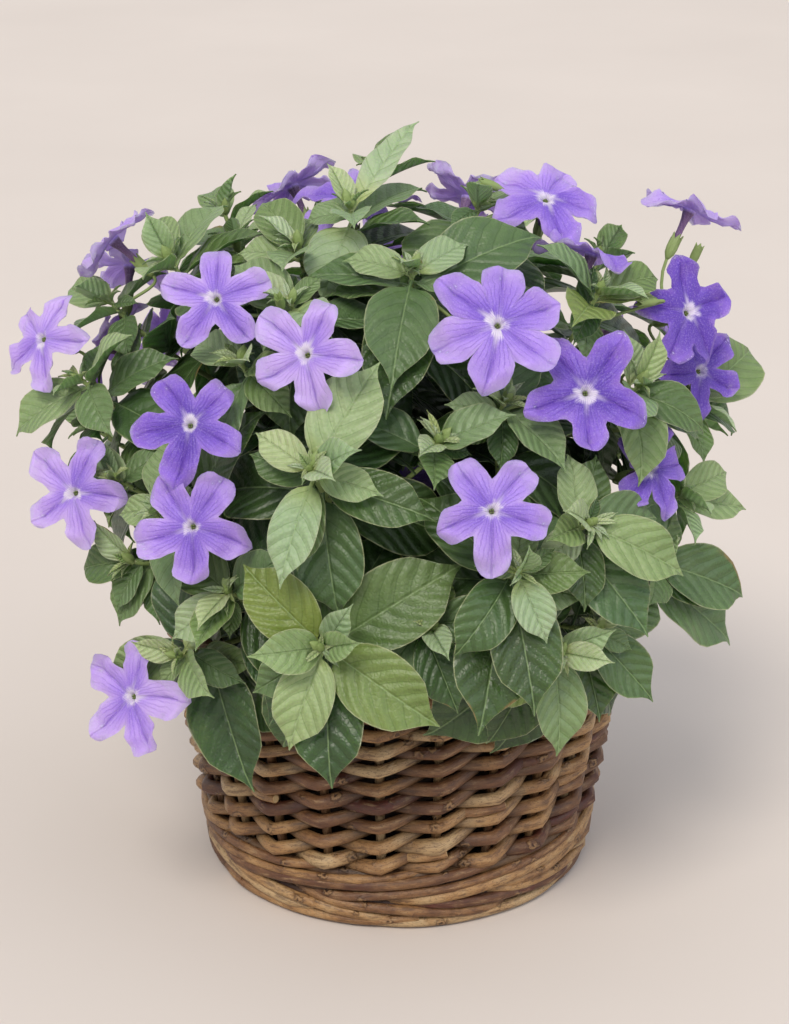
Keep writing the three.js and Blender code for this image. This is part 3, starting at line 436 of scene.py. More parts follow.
def stalk_to(shoot, fork, foot, n):
    """The curve of a flower's stalk, from its fork on the shoot to the calyx."""
    start = on_shoot(shoot, fork)
    far = size(foot - start)
    return [start, start + heading(shoot.p, fork) * (0.4 * far), foot - n * (0.4 * far), foot]


def stalk_room(stalk, n):
    points = [stalk[0], bezier(stalk, 0.5), stalk[3]]
    points += [stalk[3] + n * (CALYX_LONG * 0.3), stalk[3] + n * (CALYX_LONG - 0.3)]
    radii = [r + STALK_CLEAR for r in (0.9, 0.85, 1.1, CALYX_R, CALYX_R * 0.9)]
    return rod_room(points, radii)


def petal_height(share, long):
    """A petal's rise over the throat: up at first, then ever more down."""
    return long * (0.16 * share - 0.26 * share * share)


def bloom_room(bloom, margin):
    """A star of few faces round the petals, and their tube."""
    long, thick = bloom.petal + margin, PETAL_MID + margin
    petals = bloom.petals
    step = 2 * math.pi / petals
    wide = step * 0.37 + margin / long
    v, f = [], []

    def at(r, turn, h):
        v.append(bloom.at + turned(bloom.e1, bloom.e2, turn) * r + bloom.n * h)
        return len(v) - 1

    throat, under, tube, lobes = [], [], [], []
    middle = petal_height(0.6, long) - 0.6
    for k in range(petals):
        turn = math.radians(bloom.first) + k * step
        notch = turn - step / 2
        throat.append(at(THROAT_R, notch, 0))
        under.append(at(THROAT_R, notch, -2 * PETAL_MID))
        tube.append(at(TUBE_R, notch, -TUBE_LONG))
        rim = [(0.36, notch), (0.8, turn - wide), (1, turn), (0.8, turn + wide)]
        ids = [at(long * s, a, petal_height(s, long)) for s, a in rim]
        top = at(long * 0.6, turn, middle + thick)
        lobes.append((ids, top, at(long * 0.6, turn, middle - thick)))
    dimple = at(0, 0, -1.6)
    for k in range(petals):
        k2 = (k + 1) % petals
        ids, top, bottom = lobes[k]
        for ends, mid in ((throat, top), (under, bottom)):
            ring = [ends[k], *ids, lobes[k2][0][0], ends[k2]]
            f += [(a, ring[(i + 1) % len(ring)], mid) for i, a in enumerate(ring)]
        f.append((throat[k], throat[k2], dimple))
        f += [(under[k2], under[k], tube[k2]), (tube[k2], under[k], tube[k])]
    f += [(tube[0], tube[k + 1], tube[k]) for k in range(1, petals - 1)]
    return Room(np.array(v), np.array(f), edges_of(f))


def half_width(s):
    """The leaf's half width over its greatest: an egg drawn out to a tip."""
    u = np.clip((np.asarray(s, float) - PETIOLE) / (1 - PETIOLE), 0, 1)
    return np.power(u, 0.55) * np.power(1 - u, 1.15) / 0.343


def midrib(leaf, s):
    """The point and upper face of the midrib, an arc that bends from the upper face."""
    a = np.asarray(leaf.droop * s)[..., None]
    along = (leaf.long * np.sin(a)) / leaf.droop
    fall = (leaf.long * (1 - np.cos(a))) / leaf.droop
    point = leaf.root + leaf.along * along - leaf.face * fall
    return point, leaf.face * np.cos(a) + leaf.along * np.sin(a)


def leaf_room(leaf, start, clear=LEAF_CLEAR):
    """The leaf a little enlarged, from a share of its length onwards."""
    s = np.array([start, 0.35, 0.68])
    point, face = midrib(leaf, s)
    stalk = (s < 0.14)[:, None]
    wide = (np.maximum(LEAF_STALK, leaf.wide * half_width(s)) + clear)[:, None]
    mid = face * (np.where(stalk, LEAF_STALK, LEAF_MID) + clear * 0.8)
    rise = face * np.where(stalk, 0, wide * math.sin(leaf.fold))
    reach = leaf.side * np.where(stalk, wide, wide * math.cos(leaf.fold))
    ring = np.stack([point + reach + rise, point + mid, point - reach + rise, point - mid], 1)
    tip = midrib(leaf, np.array([1 + 1.5 / leaf.long]))[0][0]
    return loft_room(list(ring), tip)


def times3(a, b):
    """Cross products of two broadcast arrays, as three arrays."""
    return (a[1] * b[2] - a[2] * b[1], a[2] * b[0] - a[0] * b[2], a[0] * b[1] - a[1] * b[0])


def pierces(p, q, a, b, c):
    """Whether any edge pq crosses any triangle abc."""
    d = [(q - p)[:, k, None] for k in range(3)]
    e1 = [(b - a)[None, :, k] for k in range(3)]
    e2 = [(c - a)[None, :, k] for k in range(3)]
    h = times3(d, e2)
    det = e1[0] * h[0] + e1[1] * h[1] + e1[2] * h[2]
    safe = np.where(np.abs(det) < 1e-9, 1e30, det)
    s = [p[:, k, None] - a[None, :, k] for k in range(3)]
    u = (s[0] * h[0] + s[1] * h[1] + s[2] * h[2]) / safe
    k = times3(s, e1)
    w = (d[0] * k[0] + d[1] * k[1] + d[2] * k[2]) / safe
    t = (e2[0] * k[0] + e2[1] * k[1] + e2[2] * k[2]) / safe
    inside = (u >= 0) & (u <= 1) & (w >= 0) & (u + w <= 1) & (t >= 0) & (t <= 1)
    return bool((inside & (np.abs(det) >= 1e-9)).any())


def meets(one, others):
    """Whether a room crosses any of the others."""
    near = [o for o in others if (one.low <= o.high).all() and (o.low <= one.high).all()]
    if not near:
        return False
    gather = lambda key: np.concatenate([getattr(o, key) for o in near])
    a, b, c = gather("a"), gather("b"), gather("c")
    if pierces(one.p, one.q, a, b, c):
        return True
    return pierces(gather("p"), gather("q"), one.a, one.b, one.c)


class Taken:
    """Rooms already taken: each with its node, its shoot's number, and its blade alone."""

    def __init__(self):
        self.items = []
        self.low = np.zeros((4000, 3))
        self.high = np.zeros((4000, 3))
        self.node = np.zeros(4000, int)
        self.shoot = np.zeros(4000, int)

    def add(self, room, node, shoot=-1, blade=None):
        i = len(self.items)
        self.low[i], self.high[i] = room.low, room.high
        self.node[i], self.shoot[i] = node, shoot
        self.items.append((room, blade or room))

    def near(self, room):
        n = len(self.items)
        apart = (self.low[:n] > room.high) | (self.high[:n] < room.low)
        return np.flatnonzero(~apart.any(1))


BLOOM_NODE = 1000
taken = Taken()
blooms = []
for i, (at, looks, petal, first, on, depth) in enumerate(BLOOMS):
    n = unit(np.array(looks, float))
    e1 = flat(RIGHT, n)
    bloom = SimpleNamespace(at=place(at), n=n, e1=e1, e2=cross(n, e1), petal=petal, first=first)
    bloom.on, bloom.depth, bloom.fork = on, depth, FORKS.get(i, 0.92)
    bloom.petals = 6 if i in SIX_PETALS else 5
    blooms.append(bloom)
    taken.add(bloom_room(bloom, BLOOM_CLEAR), BLOOM_NODE + i)

WALL_RING = [
    (93, SOIL_Z + 6), (96.5, RIM_Z + RIM_ROPE_R + 2), (112.5, RIM_Z + RIM_ROPE_R + 2),
    (114, RIM_Z - RIM_ROPE_R), (94.5, 0),
]
wall_points = np.array([polar(r, math.pi * i / 12, z) for i in range(24) for r, z in WALL_RING])
wall_faces = []
for i in range(24):
    for j in range(5):
        a, b = i * 5 + j, i * 5 + (j + 1) % 5
        c, d = (i + 1) % 24 * 5 + (j + 1) % 5, (i + 1) % 24 * 5 + j
        wall_faces += [(a, b, c), (a, c, d)]
wall = Room(wall_points, np.array(wall_faces), edges_of(wall_faces))


def first_clear(tries, make, room_of, node):
    """The first try whose room meets nothing of another node, or else the first."""
    for attempt in tries:
        made = make(attempt)
        room = room_of(made)
        near = [taken.items[i][0] for i in taken.near(room) if taken.node[i] != node]
        if not meets(room, near) and not meets(room, [wall]):
            return made, room
    made = make(tries[0])
    return made, room_of(made)


shoots = []
tries = (0, 7, -7, 14, -14, 21, -21, 30, -30)
for node, stem in enumerate(STEMS):
    shoot, room = first_clear(tries, lambda a: rooted_shoot(stem, node, a), shoot_room, node)
    taken.add(room, node, len(shoots))
    shoots.append(shoot)
tries = (0, 10, -10, 20, 30, -20)
for branch in BRANCHES:
    parent = shoots[branch[0]]
    node = parent.node
    shoot, room = first_clear(tries, lambda a: branch_shoot(branch, parent, a), shoot_room, node)
    taken.add(room, node, len(shoots))
    shoots.append(shoot)
tries = (0, 8, -5, 16, 24, 32, 42)
for i, bloom in enumerate(blooms):
    shoot, n = shoots[bloom.on], bloom.n
    node = bloom.node = shoot.node
    taken.node[i] = node
    foot = bloom.at - n * (TUBE_LONG + CALYX_LONG)
    make = lambda a: stalk_to(shoot, bloom.fork - a / 100, foot, n)
    bloom.stalk, room = first_clear(tries, make, lambda stalk: stalk_room(stalk, n), node)
    taken.node[i] = BLOOM_NODE + i
    taken.add(room, node)


def new_leaf(shoot, back, root, along, face, long, wide, droop, fold):
    """A leaf: droop is its bend in radians, fold the rise of its halves in degrees."""
    leaf = SimpleNamespace(root=root, along=along, face=face, side=cross(face, along), long=long)
    leaf.wide, leaf.droop, leaf.fold = wide, droop, math.radians(fold)
    leaf.node, leaf.back, leaf.row = shoot.node, back, None
    return leaf


def leaf_on(shoot, row, number, draws, attempt):
    """A leaf by its place in the spiral round a shoot."""
    shrink, turn, lift = attempt
    back, length, opening, droop, fold = row
    t = back_from_tip(shoot, back)
    root = on_shoot(shoot, t)
    d = heading(shoot.p, t)
    x = flat(np.array([0.0, 1, 0]) if abs(d[2]) > 0.95 else UP, d)
    y = cross(d, x)
    spiral = shoot.phase + GOLDEN_ANGLE * number
    around = math.radians(spiral + 24 * (draws[0] - 0.5) + turn)
    opens = math.radians(opening + 14 * (draws[1] - 0.5) + lift)
    out = turned(x, y, around)
    along = unit(turned(d, out, opens) + np.array([0, 0, -0.22 * math.sin(opens)]))
    inner = d * math.sin(opens) - out * math.cos(opens)
    light = unit(unit(root - HEART) + np.array([0, 0, 0.5]))
    face = flat(inner + light * 0.7, along)
    long = length * (0.9 + 0.2 * draws[2]) * shrink
    wide = long * LEAF_ASPECT * (0.93 + 0.14 * draws[3])
    droop = math.radians(droop * (0.8 + 0.4 * draws[3]))
    return new_leaf(shoot, back, root, along, face, long, wide, droop, fold)


def leaf_to(shoot, row, draws, attempt):
    """A leaf by where its tip is seen, in a plane that faces outwards and to the viewer."""
    shrink, to_viewer, bend = attempt
    back, right, up, aspect = row
    root = on_shoot(shoot, back_from_tip(shoot, back))
    light = unit(root - HEART) + np.array([0, 0, 0.2])
    n = unit(light + VIEWER * to_viewer)
    near, far = seen(right, up, -100), seen(right, up, 0)
    sight = far - near
    tip = near + sight * (float((root - near) @ n) / float(sight @ n))
    chord = (tip - root) * shrink
    droop = math.radians(bend)
    long = (size(chord) * droop) / 2 / math.sin(droop / 2)
    along = turned(unit(chord), n, droop / 2)
    aspect = aspect or LEAF_ASPECT * (0.95 + 0.1 * draws[0])
    return new_leaf(shoot, back, root, along, flat(n, along), long, long * aspect, droop, 16)


BARE = 0.16  # share of a leaf's length that may touch its own stem and its neighbours


def clears(leaf, number, clear=LEAF_CLEAR):
    """A leaf's rooms where it meets nothing that it should clear, or None."""
    whole = leaf_room(leaf, 0.04, clear)
    v = whole.v
    in_pot = (np.hypot(v[:, 0], v[:, 1]) < NO_LEAF_R) & (v[:, 2] < SOIL_Z + SOIL_MOUND + 3)
    if (v[:, 2] < LOWEST_LEAF).any() or in_pot.any():
        return None
    blade = leaf_room(leaf, BARE, clear)
    if meets(whole, [wall]):
        return None
    near = taken.near(whole)
    same = taken.node[near] == leaf.node
    if meets(whole, [taken.items[i][0] for i in near[~same]]):
        return None
    own = near[same & (taken.shoot[near] != number)]
    if meets(blade, [taken.items[i][1] for i in own]):
        return None
    return whole, blade


leaves = []


def place_leaf(number, tries, make, clear=LEAF_CLEAR, inside=None):
    """Adds the first try of a leaf that clears its neighbours. It may have to stay in a box."""
    for attempt in tries:
        leaf = make(attempt)
        if leaf.long > LONGEST_LEAF:
            continue
        rooms = clears(leaf, number, clear)
        if rooms is None:
            continue
        if inside is not None:
            v = rooms[0].v
            if (v < inside[0]).any() or (v > inside[1]).any():
                continue
        taken.add(rooms[0], leaf.node, blade=rooms[1])
        leaves.append(leaf)
        return leaf
    return None


# Tries for a leaf on the spiral: size, turn round the shoot and lift, in degrees. Tries for
# one placed by its tip: size, how much it faces the viewer, and bend in degrees.
TURNS = product((1, 0.85, 0.7), (0, 18, -20), (0, 26, -26, 52, -52))
TRIES = [(shrink, turn, lift) for shrink, lift, turn in TURNS]
SEEN_TRIES = list(product((1, 0.9, 0.8), (0.8, 0.3, 1.6, 3), (40, 15, 65)))


def place_seen(draw, tries, *limits):
    """Places those leaves of LEAF_TIPS that have no place yet."""
    done = {leaf.row for leaf in leaves}
    for number, (on, back, right, up, *aspect) in enumerate(LEAF_TIPS):
        draws = (draw(), draw())
        row = (back, right, up, aspect[0] if aspect else None)
        if number not in done:
            placed = place_leaf(on, tries, lambda a: leaf_to(shoots[on], row, draws, a), *limits)
            if placed:
                placed.row = number


def place_spiral(draw, first, rows, *limits):
    """Places a leaf of each row on each shoot that is long enough."""
    for number, row in enumerate(rows, first):
        for i, shoot in enumerate(shoots):
            draws = (draw(), draw(), draw(), draw())
            if row[0] <= shoot.length - 8:
                place_leaf(i, TRIES, lambda a: leaf_on(shoot, row, number, draws, a), *limits)


draw = Draws(20)
place_seen(draw, SEEN_TRIES)
place_spiral(draw, 0, LEAF_ROWS)

# Surfaces

# On willow rods the rim mark is painted shade: the higher it is, the darker the rod is painted. On leaves
# and petals it is the share out to the margin.
MARKS = ("tone", "warm", "rim", "span")


def skin(grid, left, right, material=0, under=None, **marks):
    """One closed surface: rings of points, and the pattern's two coordinates at the left
    and right side of each face."""
    made = dict(grid=grid, left=left, right=right, material=material, under=under)
    for key in MARKS:
        made[key] = np.broadcast_to(marks.get(key, 0.0), grid.shape[:2])
    return made


def turned_out(grid):
    """Whether the faces of a ring surface point outwards, by the sign of its volume."""
    g = grid - grid.reshape(-1, 3).mean(0)
    a, b = g[:-1], np.roll(g, -1, 1)[:-1]
    c, d = np.roll(g, -1, 1)[1:], g[1:]
    volume = (np.cross(b, c) * a).sum() + (np.cross(c, d) * a).sum()
    return volume > 0


def put(name, data, place=(0, 0, 0), turn=(0, 0, 0)):
    """A new object in the scene, in metres and radians."""
    made = bpy.data.objects.new(name, data)
    bpy.context.scene.collection.objects.link(made)
    made.location = place
    made.rotation_euler = turn
    return made


def piece(name, skins, materials, node):
    """Joins surfaces in one mesh that rides on the root in place of a CAD node."""
    parts = {key: [] for key in ("point", "corner", "count", "uv", "kind", "under", *MARKS)}
    start = 0
    for s in skins:
        rings, around = s["grid"].shape[:2]
        ids = start + np.arange(rings * around).reshape(rings, around)
        start += rings * around
        nxt, left, right = np.roll(ids, -1, 1), s["left"], s["right"]
        quads = np.stack([ids[:-1], nxt[:-1], nxt[1:], ids[1:]], -1).reshape(-1, 4)
        uv = np.stack([left[:-1], right[:-1], right[1:], left[1:]], -2).reshape(-1, 4, 2)
        caps, cap_uv = np.stack([ids[0][::-1], ids[-1]]), np.stack([left[0][::-1], left[-1]])
        if not turned_out(s["grid"]):
            quads, uv, caps, cap_uv = (a[:, ::-1] for a in (quads, uv, caps, cap_uv))
        under = np.zeros((rings - 1, around)) if s["under"] is None else s["under"]
        parts["point"].append(s["grid"].ravel())
        parts["corner"] += [quads.ravel(), caps.ravel()]
        parts["count"] += [np.full(len(quads), 4), np.full(2, around)]
        parts["uv"] += [uv.ravel(), cap_uv.ravel()]
        parts["kind"].append(np.full(len(quads) + 2, s["material"]))
        parts["under"] += [under.ravel(), np.zeros(2)]
        for key in MARKS:
            parts[key].append(s[key].ravel())
    parts = {key: np.concatenate(values) for key, values in parts.items()}
    mesh = bpy.data.meshes.new(name)
    mesh.vertices.add(start)
    mesh.loops.add(len(parts["corner"]))
    mesh.polygons.add(len(parts["count"]))
    starts = np.cumsum(parts["count"]) - parts["count"]
    mesh.vertices.foreach_set("co", (parts["point"] * 0.001).astype(np.float32))
    mesh.loops.foreach_set("vertex_index", parts["corner"].astype(np.int32))
    mesh.polygons.foreach_set("loop_start", starts.astype(np.int32))
    mesh.polygons.foreach_set("material_index", parts["kind"].astype(np.int32))
    mesh.update(calc_edges=True)
    mesh.uv_layers.new(name="pattern").data.foreach_set("uv", parts["uv"].astype(np.float32))
    for key, where in (*((key, "POINT") for key in MARKS), ("under", "FACE")):
        attribute = mesh.attributes.new(key, "FLOAT", where)
        attribute.data.foreach_set("value", parts[key].astype(np.float32))
    mesh.shade_smooth()
    mesh.set_sharp_from_angle(angle=math.radians(62))
    for material in materials:
        mesh.materials.append(material)
    made = put(name, mesh)
    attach(made, "root")
    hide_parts(node)


def lengths_along(path):
    """Distance along a path to each of its points."""
    steps = np.linalg.norm(np.diff(path, axis=0), axis=1)
    return np.concatenate([[0], np.cumsum(steps)])


def rod_skin(path, radii, around, reference, **marks):
    """A round rod: at each point of a path, a circle square to it. The circle starts at the
    reference direction's part that is square to the path."""
    path = np.asarray(path, float)
    ahead = np.gradient(path, axis=0)
    ahead /= np.linalg.norm(ahead, axis=1, keepdims=True)
    side = np.cross(ahead, reference)
    side /= np.linalg.norm(side, axis=1, keepdims=True)
    across = np.cross(side, ahead)
    radii = np.broadcast_to(radii, len(path))[:, None, None]
    along = np.broadcast_to(lengths_along(path)[:, None], (len(path), around))
    girth = 2 * np.pi * float(radii.mean()) / around
    left = np.stack([along, np.broadcast_to(girth * np.arange(around), along.shape)], -1)
    marks = {k: np.asarray(v, float)[..., None] if np.ndim(v) else v for k, v in marks.items()}
    grid = path[:, None] + radii * spokes(around, across[:, None], side[:, None])
    return skin(grid, left, left + (0, girth), **marks)


def smooth(x):
    """0 below 0, 1 above 1, and an even S between."""
    x = np.clip(x, 0, 1)
    return x * x * (3 - 2 * x)


def kept_inside(grid, anchor):
    """A surface, drawn in towards its anchor as far as the solids' box asks."""
    reach = grid - anchor
    room = np.where(reach > 0, BOX_HIGH - 0.1 - anchor, anchor - BOX_LOW - 0.1)
    return anchor + reach * min(1, float((room / np.maximum(np.abs(reach), 1e-6)).min()))


# Leaves

BLADE_ROWS = np.array([0, 0.06, 0.1, 0.125, 0.155, 0.2, *np.linspace(0.26, 0.92, 11), 0.96, 1])
BLADE_COLUMNS = np.array([-1, -0.86, -0.45, 0, 0.45, 0.86, 1])
SMALL_LEAF = 17  # a leaf shorter than that is drawn with fewer points
SMALL_ROWS = np.array([0, 0.09, 0.14, 0.25, 0.42, 0.6, 0.78, 0.92, 1])
SMALL_COLUMNS = np.array([-1, -0.5, 0, 0.5, 1])


def blade_width(s):
    """The visible outline: an egg, widest below its middle, drawn out to a drip tip."""
    u = np.clip((s - PETIOLE) / (1 - PETIOLE), 0, 1)
    full = u**0.6 * (1 - u) ** 0.8 / 0.3845
    return full * (1 - 0.74 * smooth((u - 0.66) / 0.3))


def leaf_skin(leaf, draws, tone, warm):
    """A leaf as a thin closed blade. Its midrib is an arc, a little swayed to one side, and
    its tip turns down. Across, each half rises from the midrib by the fold and levels off
    towards the margin, which waves. The stalk is round."""
    small = leaf.long < SMALL_LEAF
    rows, columns = (SMALL_ROWS, SMALL_COLUMNS) if small else (BLADE_ROWS, BLADE_COLUMNS)
    long, s = leaf.long, rows[:, None]
    q = np.concatenate([columns, columns[-2:0:-1]])[None]
    top = np.concatenate([np.ones(len(columns)), -np.ones(len(columns) - 2)])[None]
    point, face = midrib(leaf, rows)
    sway = long * 0.05 * (draws[0] - 0.5) * rows**2
    drip = long * 0.05 * smooth((rows - 0.78) / 0.3) ** 2
    point = point + leaf.side * sway[:, None] - face * drip[:, None]
    point[0] -= leaf.along * LEAF_SUNK
    stalk = smooth((0.15 - s) / 0.05)
    half = np.maximum(leaf.wide * blade_width(s), 0.2)
    half = np.maximum(half, 0.75 * stalk + 0.12)
    rim = np.abs(q)
    crease = half * math.sin(leaf.fold) * (1.6 * rim - 0.65 * rim**2)
    ripple = np.sin(2 * np.pi * (2.3 * s + draws[1]) + np.sign(q) * (1 + draws[2]))
    wave = 0.02 * long * rim**2 * ripple * smooth(s * 4 - 0.5) * smooth((1 - s) * 5)
    bulge = 0.55 * np.exp(-((q / 0.16) ** 2)) * (1 - 0.8 * s) * (top < 0)
    thick = (0.3 * (1 - 0.5 * rim) + bulge) * (1 - stalk) + stalk * 0.8 * np.sqrt(1 - 0.98 * q**2)
    rise = (crease + wave) * (1 - stalk) + top * thick
    reach = q * half * math.cos(leaf.fold * 0.9)
    grid = point[:, None] + leaf.side * reach[..., None] + face[:, None] * rise[..., None]
    grid = kept_inside(grid, leaf.root)
    left = np.stack(np.broadcast_arrays(q * half / long + 0.5, s), -1)
    right = np.roll(left, -1, 1)
    under = 1.0 * np.broadcast_to((top < 0) | (np.roll(top, -1, 1) < 0), (len(rows) - 1, q.size))
    marks = dict(tone=tone, warm=warm, rim=rim, span=min(1, long / 62))
    return skin(grid, left, right, under=under, **marks)


# Stems, stalks and calyxes

CURVE_STEPS = np.linspace(0, 1, 15)


def curve_path(p):
    """Points along a curve, finer than the solids' steps."""
    t = CURVE_STEPS[:, None]
    s = 1 - t
    return p[0] * s**3 + p[1] * (3 * s * s * t) + p[2] * (3 * s * t * t) + p[3] * t**3


def square_to(p):
    """A direction square to the plane in which a curve mostly lies."""
    n = np.cross(p[3] - p[0], p[1] - p[0])
    if np.linalg.norm(n) < 1:
        n = np.cross(p[3] - p[0], RIGHT + 0.3 * UP)
    return n / np.linalg.norm(n)


def stem_skin(shoot):
    """A shoot's stem, thinner and younger towards its tip; a rooted one starts in the compost."""
    path = curve_path(shoot.p)
    radii = np.linspace(2.0 if shoot.rooted else 1.4, 1.0, len(path))
    tone = np.linspace(0.0 if shoot.rooted else 0.45, 1.0, len(path))
    if shoot.rooted:
        path = np.vstack([path[0] - np.array([0, 0, STEM_DEPTH]), path])
        radii = np.append(2.0, radii)
        tone = np.append(0.0, tone)
    return rod_skin(path, radii, 8, square_to(shoot.p), material=1, tone=tone)


def ribbed_skin(foot, n, radii, heights, across, side, step, tone):
    """Rings round an axis; the pattern takes a step of that length from point to point."""
    grid = foot + radii[..., None] * spokes(radii.shape[1], across, side) + heights[..., None] * n
    left = np.stack(np.broadcast_arrays(heights[:, :1], step * np.arange(radii.shape[1])), -1)
    return skin(grid, left, left + (0, step), material=1, tone=tone)


def calyx_skin(foot, n, e1, e2, wide=0.9, teeth=3.0, tone=0.9):
    """The ribbed green cup that holds a flower: its radius swells from the stalk, with ten
    ribs round it, and its mouth rises in five teeth; inside it closes again."""
    turns = 2 * np.pi * np.arange(20) / 20
    tooth = 0.5 + 0.5 * np.cos(5 * turns)
    rib = 1 + 0.08 * np.cos(10 * turns)
    heights = np.array([-0.3, 0.8, 2.6, 5.4, 8.2, 9.6, 9.6, 7.5])[:, None]
    radii = np.array([0.8, 1.5, 2.35, 2.75, 2.7, 2.6, 2.1, 0.4])[:, None] * wide
    rise = np.array([0, 0, 0, 0, 0.25, 1, 0.9, 0])[:, None] * teeth * tooth
    flare = np.array([0, 0, 0, 0, 0, 1, 1, 0])[:, None] * 0.25 * tooth
    rings = radii * np.where(radii > 2, rib, 1) + flare
    return ribbed_skin(foot, n, rings, heights + rise, e1, e2, 0.9, tone)


def stalk_skins(bloom):
    path = curve_path(bloom.stalk)
    stalk = rod_skin(path, 0.8, 6, square_to(bloom.stalk), material=1, tone=0.85)
    cup = calyx_skin(bloom.stalk[3], bloom.n, bloom.e1, bloom.e2)
    return [stalk, cup]


def bud_skin(foot, n, long):
    """A closed bud: a drop with five ribs that draws to a point."""
    e1 = np.cross(n, RIGHT + 0.3 * UP)
    e1 /= np.linalg.norm(e1)
    ribs = 1 + 0.1 * np.cos(np.pi * np.arange(10))
    heights = np.array([-0.05, 0.1, 0.28, 0.5, 0.7, 0.85, 0.95, 1.02])[:, None] * long
    radii = np.array([0.08, 0.17, 0.235, 0.245, 0.19, 0.12, 0.055, 0.012])[:, None] * long * ribs
    return ribbed_skin(foot, n, radii, heights, e1, np.cross(n, e1), 0.7, 1.2)


def tip_bud(shoot, draws):
    """A bud that stands between the youngest leaves at the end of a shoot."""
    ahead = heading(shoot.p, 1.0)
    lean = np.array([draws[0] - 0.5, draws[1] - 0.5, 0.3 * draws[2]])
    return bud_skin(shoot.p[3] - ahead * 1.5, unit(ahead + 1.2 * lean), 6 + 4 * draws[2])


def tip_bracts(shoot, draws):
    """Narrow young leaves, hardly a millimetre or two wide, that stand round the buds."""
    ahead = heading(shoot.p, 1.0)
    e1 = flat(RIGHT if abs(ahead[0]) < 0.8 else UP, ahead)
    e2 = cross(ahead, e1)
    made = []
    for k in range(BRACTS):
        out = turned(e1, e2, math.radians(GOLDEN_ANGLE) * k + 6 * draws())
        lean = 0.35 + 0.9 * draws()
        along = unit(ahead + out * lean)
        face = flat(ahead - out, along)
        long = 8 + 7 * draws()
        root, side, droop = shoot.p[3] - ahead, cross(face, along), 0.4 + 0.8 * draws()
        leaf = SimpleNamespace(root=root, along=along, face=face, side=side, long=long)
        leaf.wide, leaf.droop, leaf.fold = long * 0.13, droop, 0.5
        own = [draws() for _ in range(3)]
        made.append(leaf_skin(leaf, own, 0.02 + 0.15 * draws(), 0.7 * draws()))
    return made


def spent_skins(shoot, foot, n):
    """The calyx that a fallen flower leaves, on its stalk."""
    p = stalk_to(shoot, 0.86, foot, n)
    e1 = flat(RIGHT if abs(n[0]) < 0.8 else UP, n)
    cup = calyx_skin(foot, n, e1, cross(n, e1), 0.75, 2.2, 1.0)
    return [rod_skin(curve_path(p), 0.75, 6, square_to(p), material=1, tone=0.85), cup]


# Flowers

# Half the outline of a petal from its broadest place to its tip: across and along, as
# shares of the petal's length. It starts at the notch beside the petal.
LOBE_ACROSS = [0.35, 0.357, 0.33, 0.268, 0.185, 0.095, 0.0]
LOBE_ALONG = [0.6, 0.7, 0.8, 0.885, 0.94, 0.975, 0.99]
LOBE_STEPS = 9  # faces along that half outline


def lobe_outline(petals, notch, slim):
    """The corolla's outline: angle from the petal's middle, and radius. The notch between
    petals lies at a share of their length, and they may be slimmer than the widest."""
    step = 2 * np.pi / petals
    narrow = math.sin(step / 2) / math.sin(math.pi / 5)
    foot = np.array([notch * math.sin(math.pi / 5), notch * math.cos(math.pi / 5)])
    shoulder = 0.45 * foot + 0.55 * np.array([LOBE_ACROSS[0], LOBE_ALONG[0]]) + (0.006, -0.006)
    across = np.array([foot[0], shoulder[0], *LOBE_ACROSS]) * np.append(1, np.full(8, slim))
    along = np.array([foot[1], shoulder[1], *LOBE_ALONG])
    reach = lengths_along(np.stack([across, along], -1))
    at = np.linspace(0, reach[-1], LOBE_STEPS + 1)
    x, y = np.interp(at, reach, across) * narrow, np.interp(at, reach, along)
    half_angle, radius = np.arctan2(x, y), np.hypot(x, y)
    half_angle *= (step / 2) / half_angle[0]
    angles = np.concatenate([-half_angle, half_angle[-2:0:-1]])
    radii = np.concatenate([radius, radius[-2:0:-1]])
    return angles, radii


# Rings of a flower: up the dimple, out over the petals, back under them, down the tube.
DIMPLE = np.array([(0.3, -2.7), (0.85, -2.1), (1.8, -0.6)])
OUTWARD = np.array([0.0, 0.08, 0.2, 0.34, 0.48, 0.61, 0.73, 0.84, 0.93, 1.0])
BACKWARD = OUTWARD[-2::-1]
TUBE = np.array([(2.6, -2.6), (1.9, -5.5), (1.55, -9), (1.45, -13), (1.5, -15.5), (0.3, -15.8)])


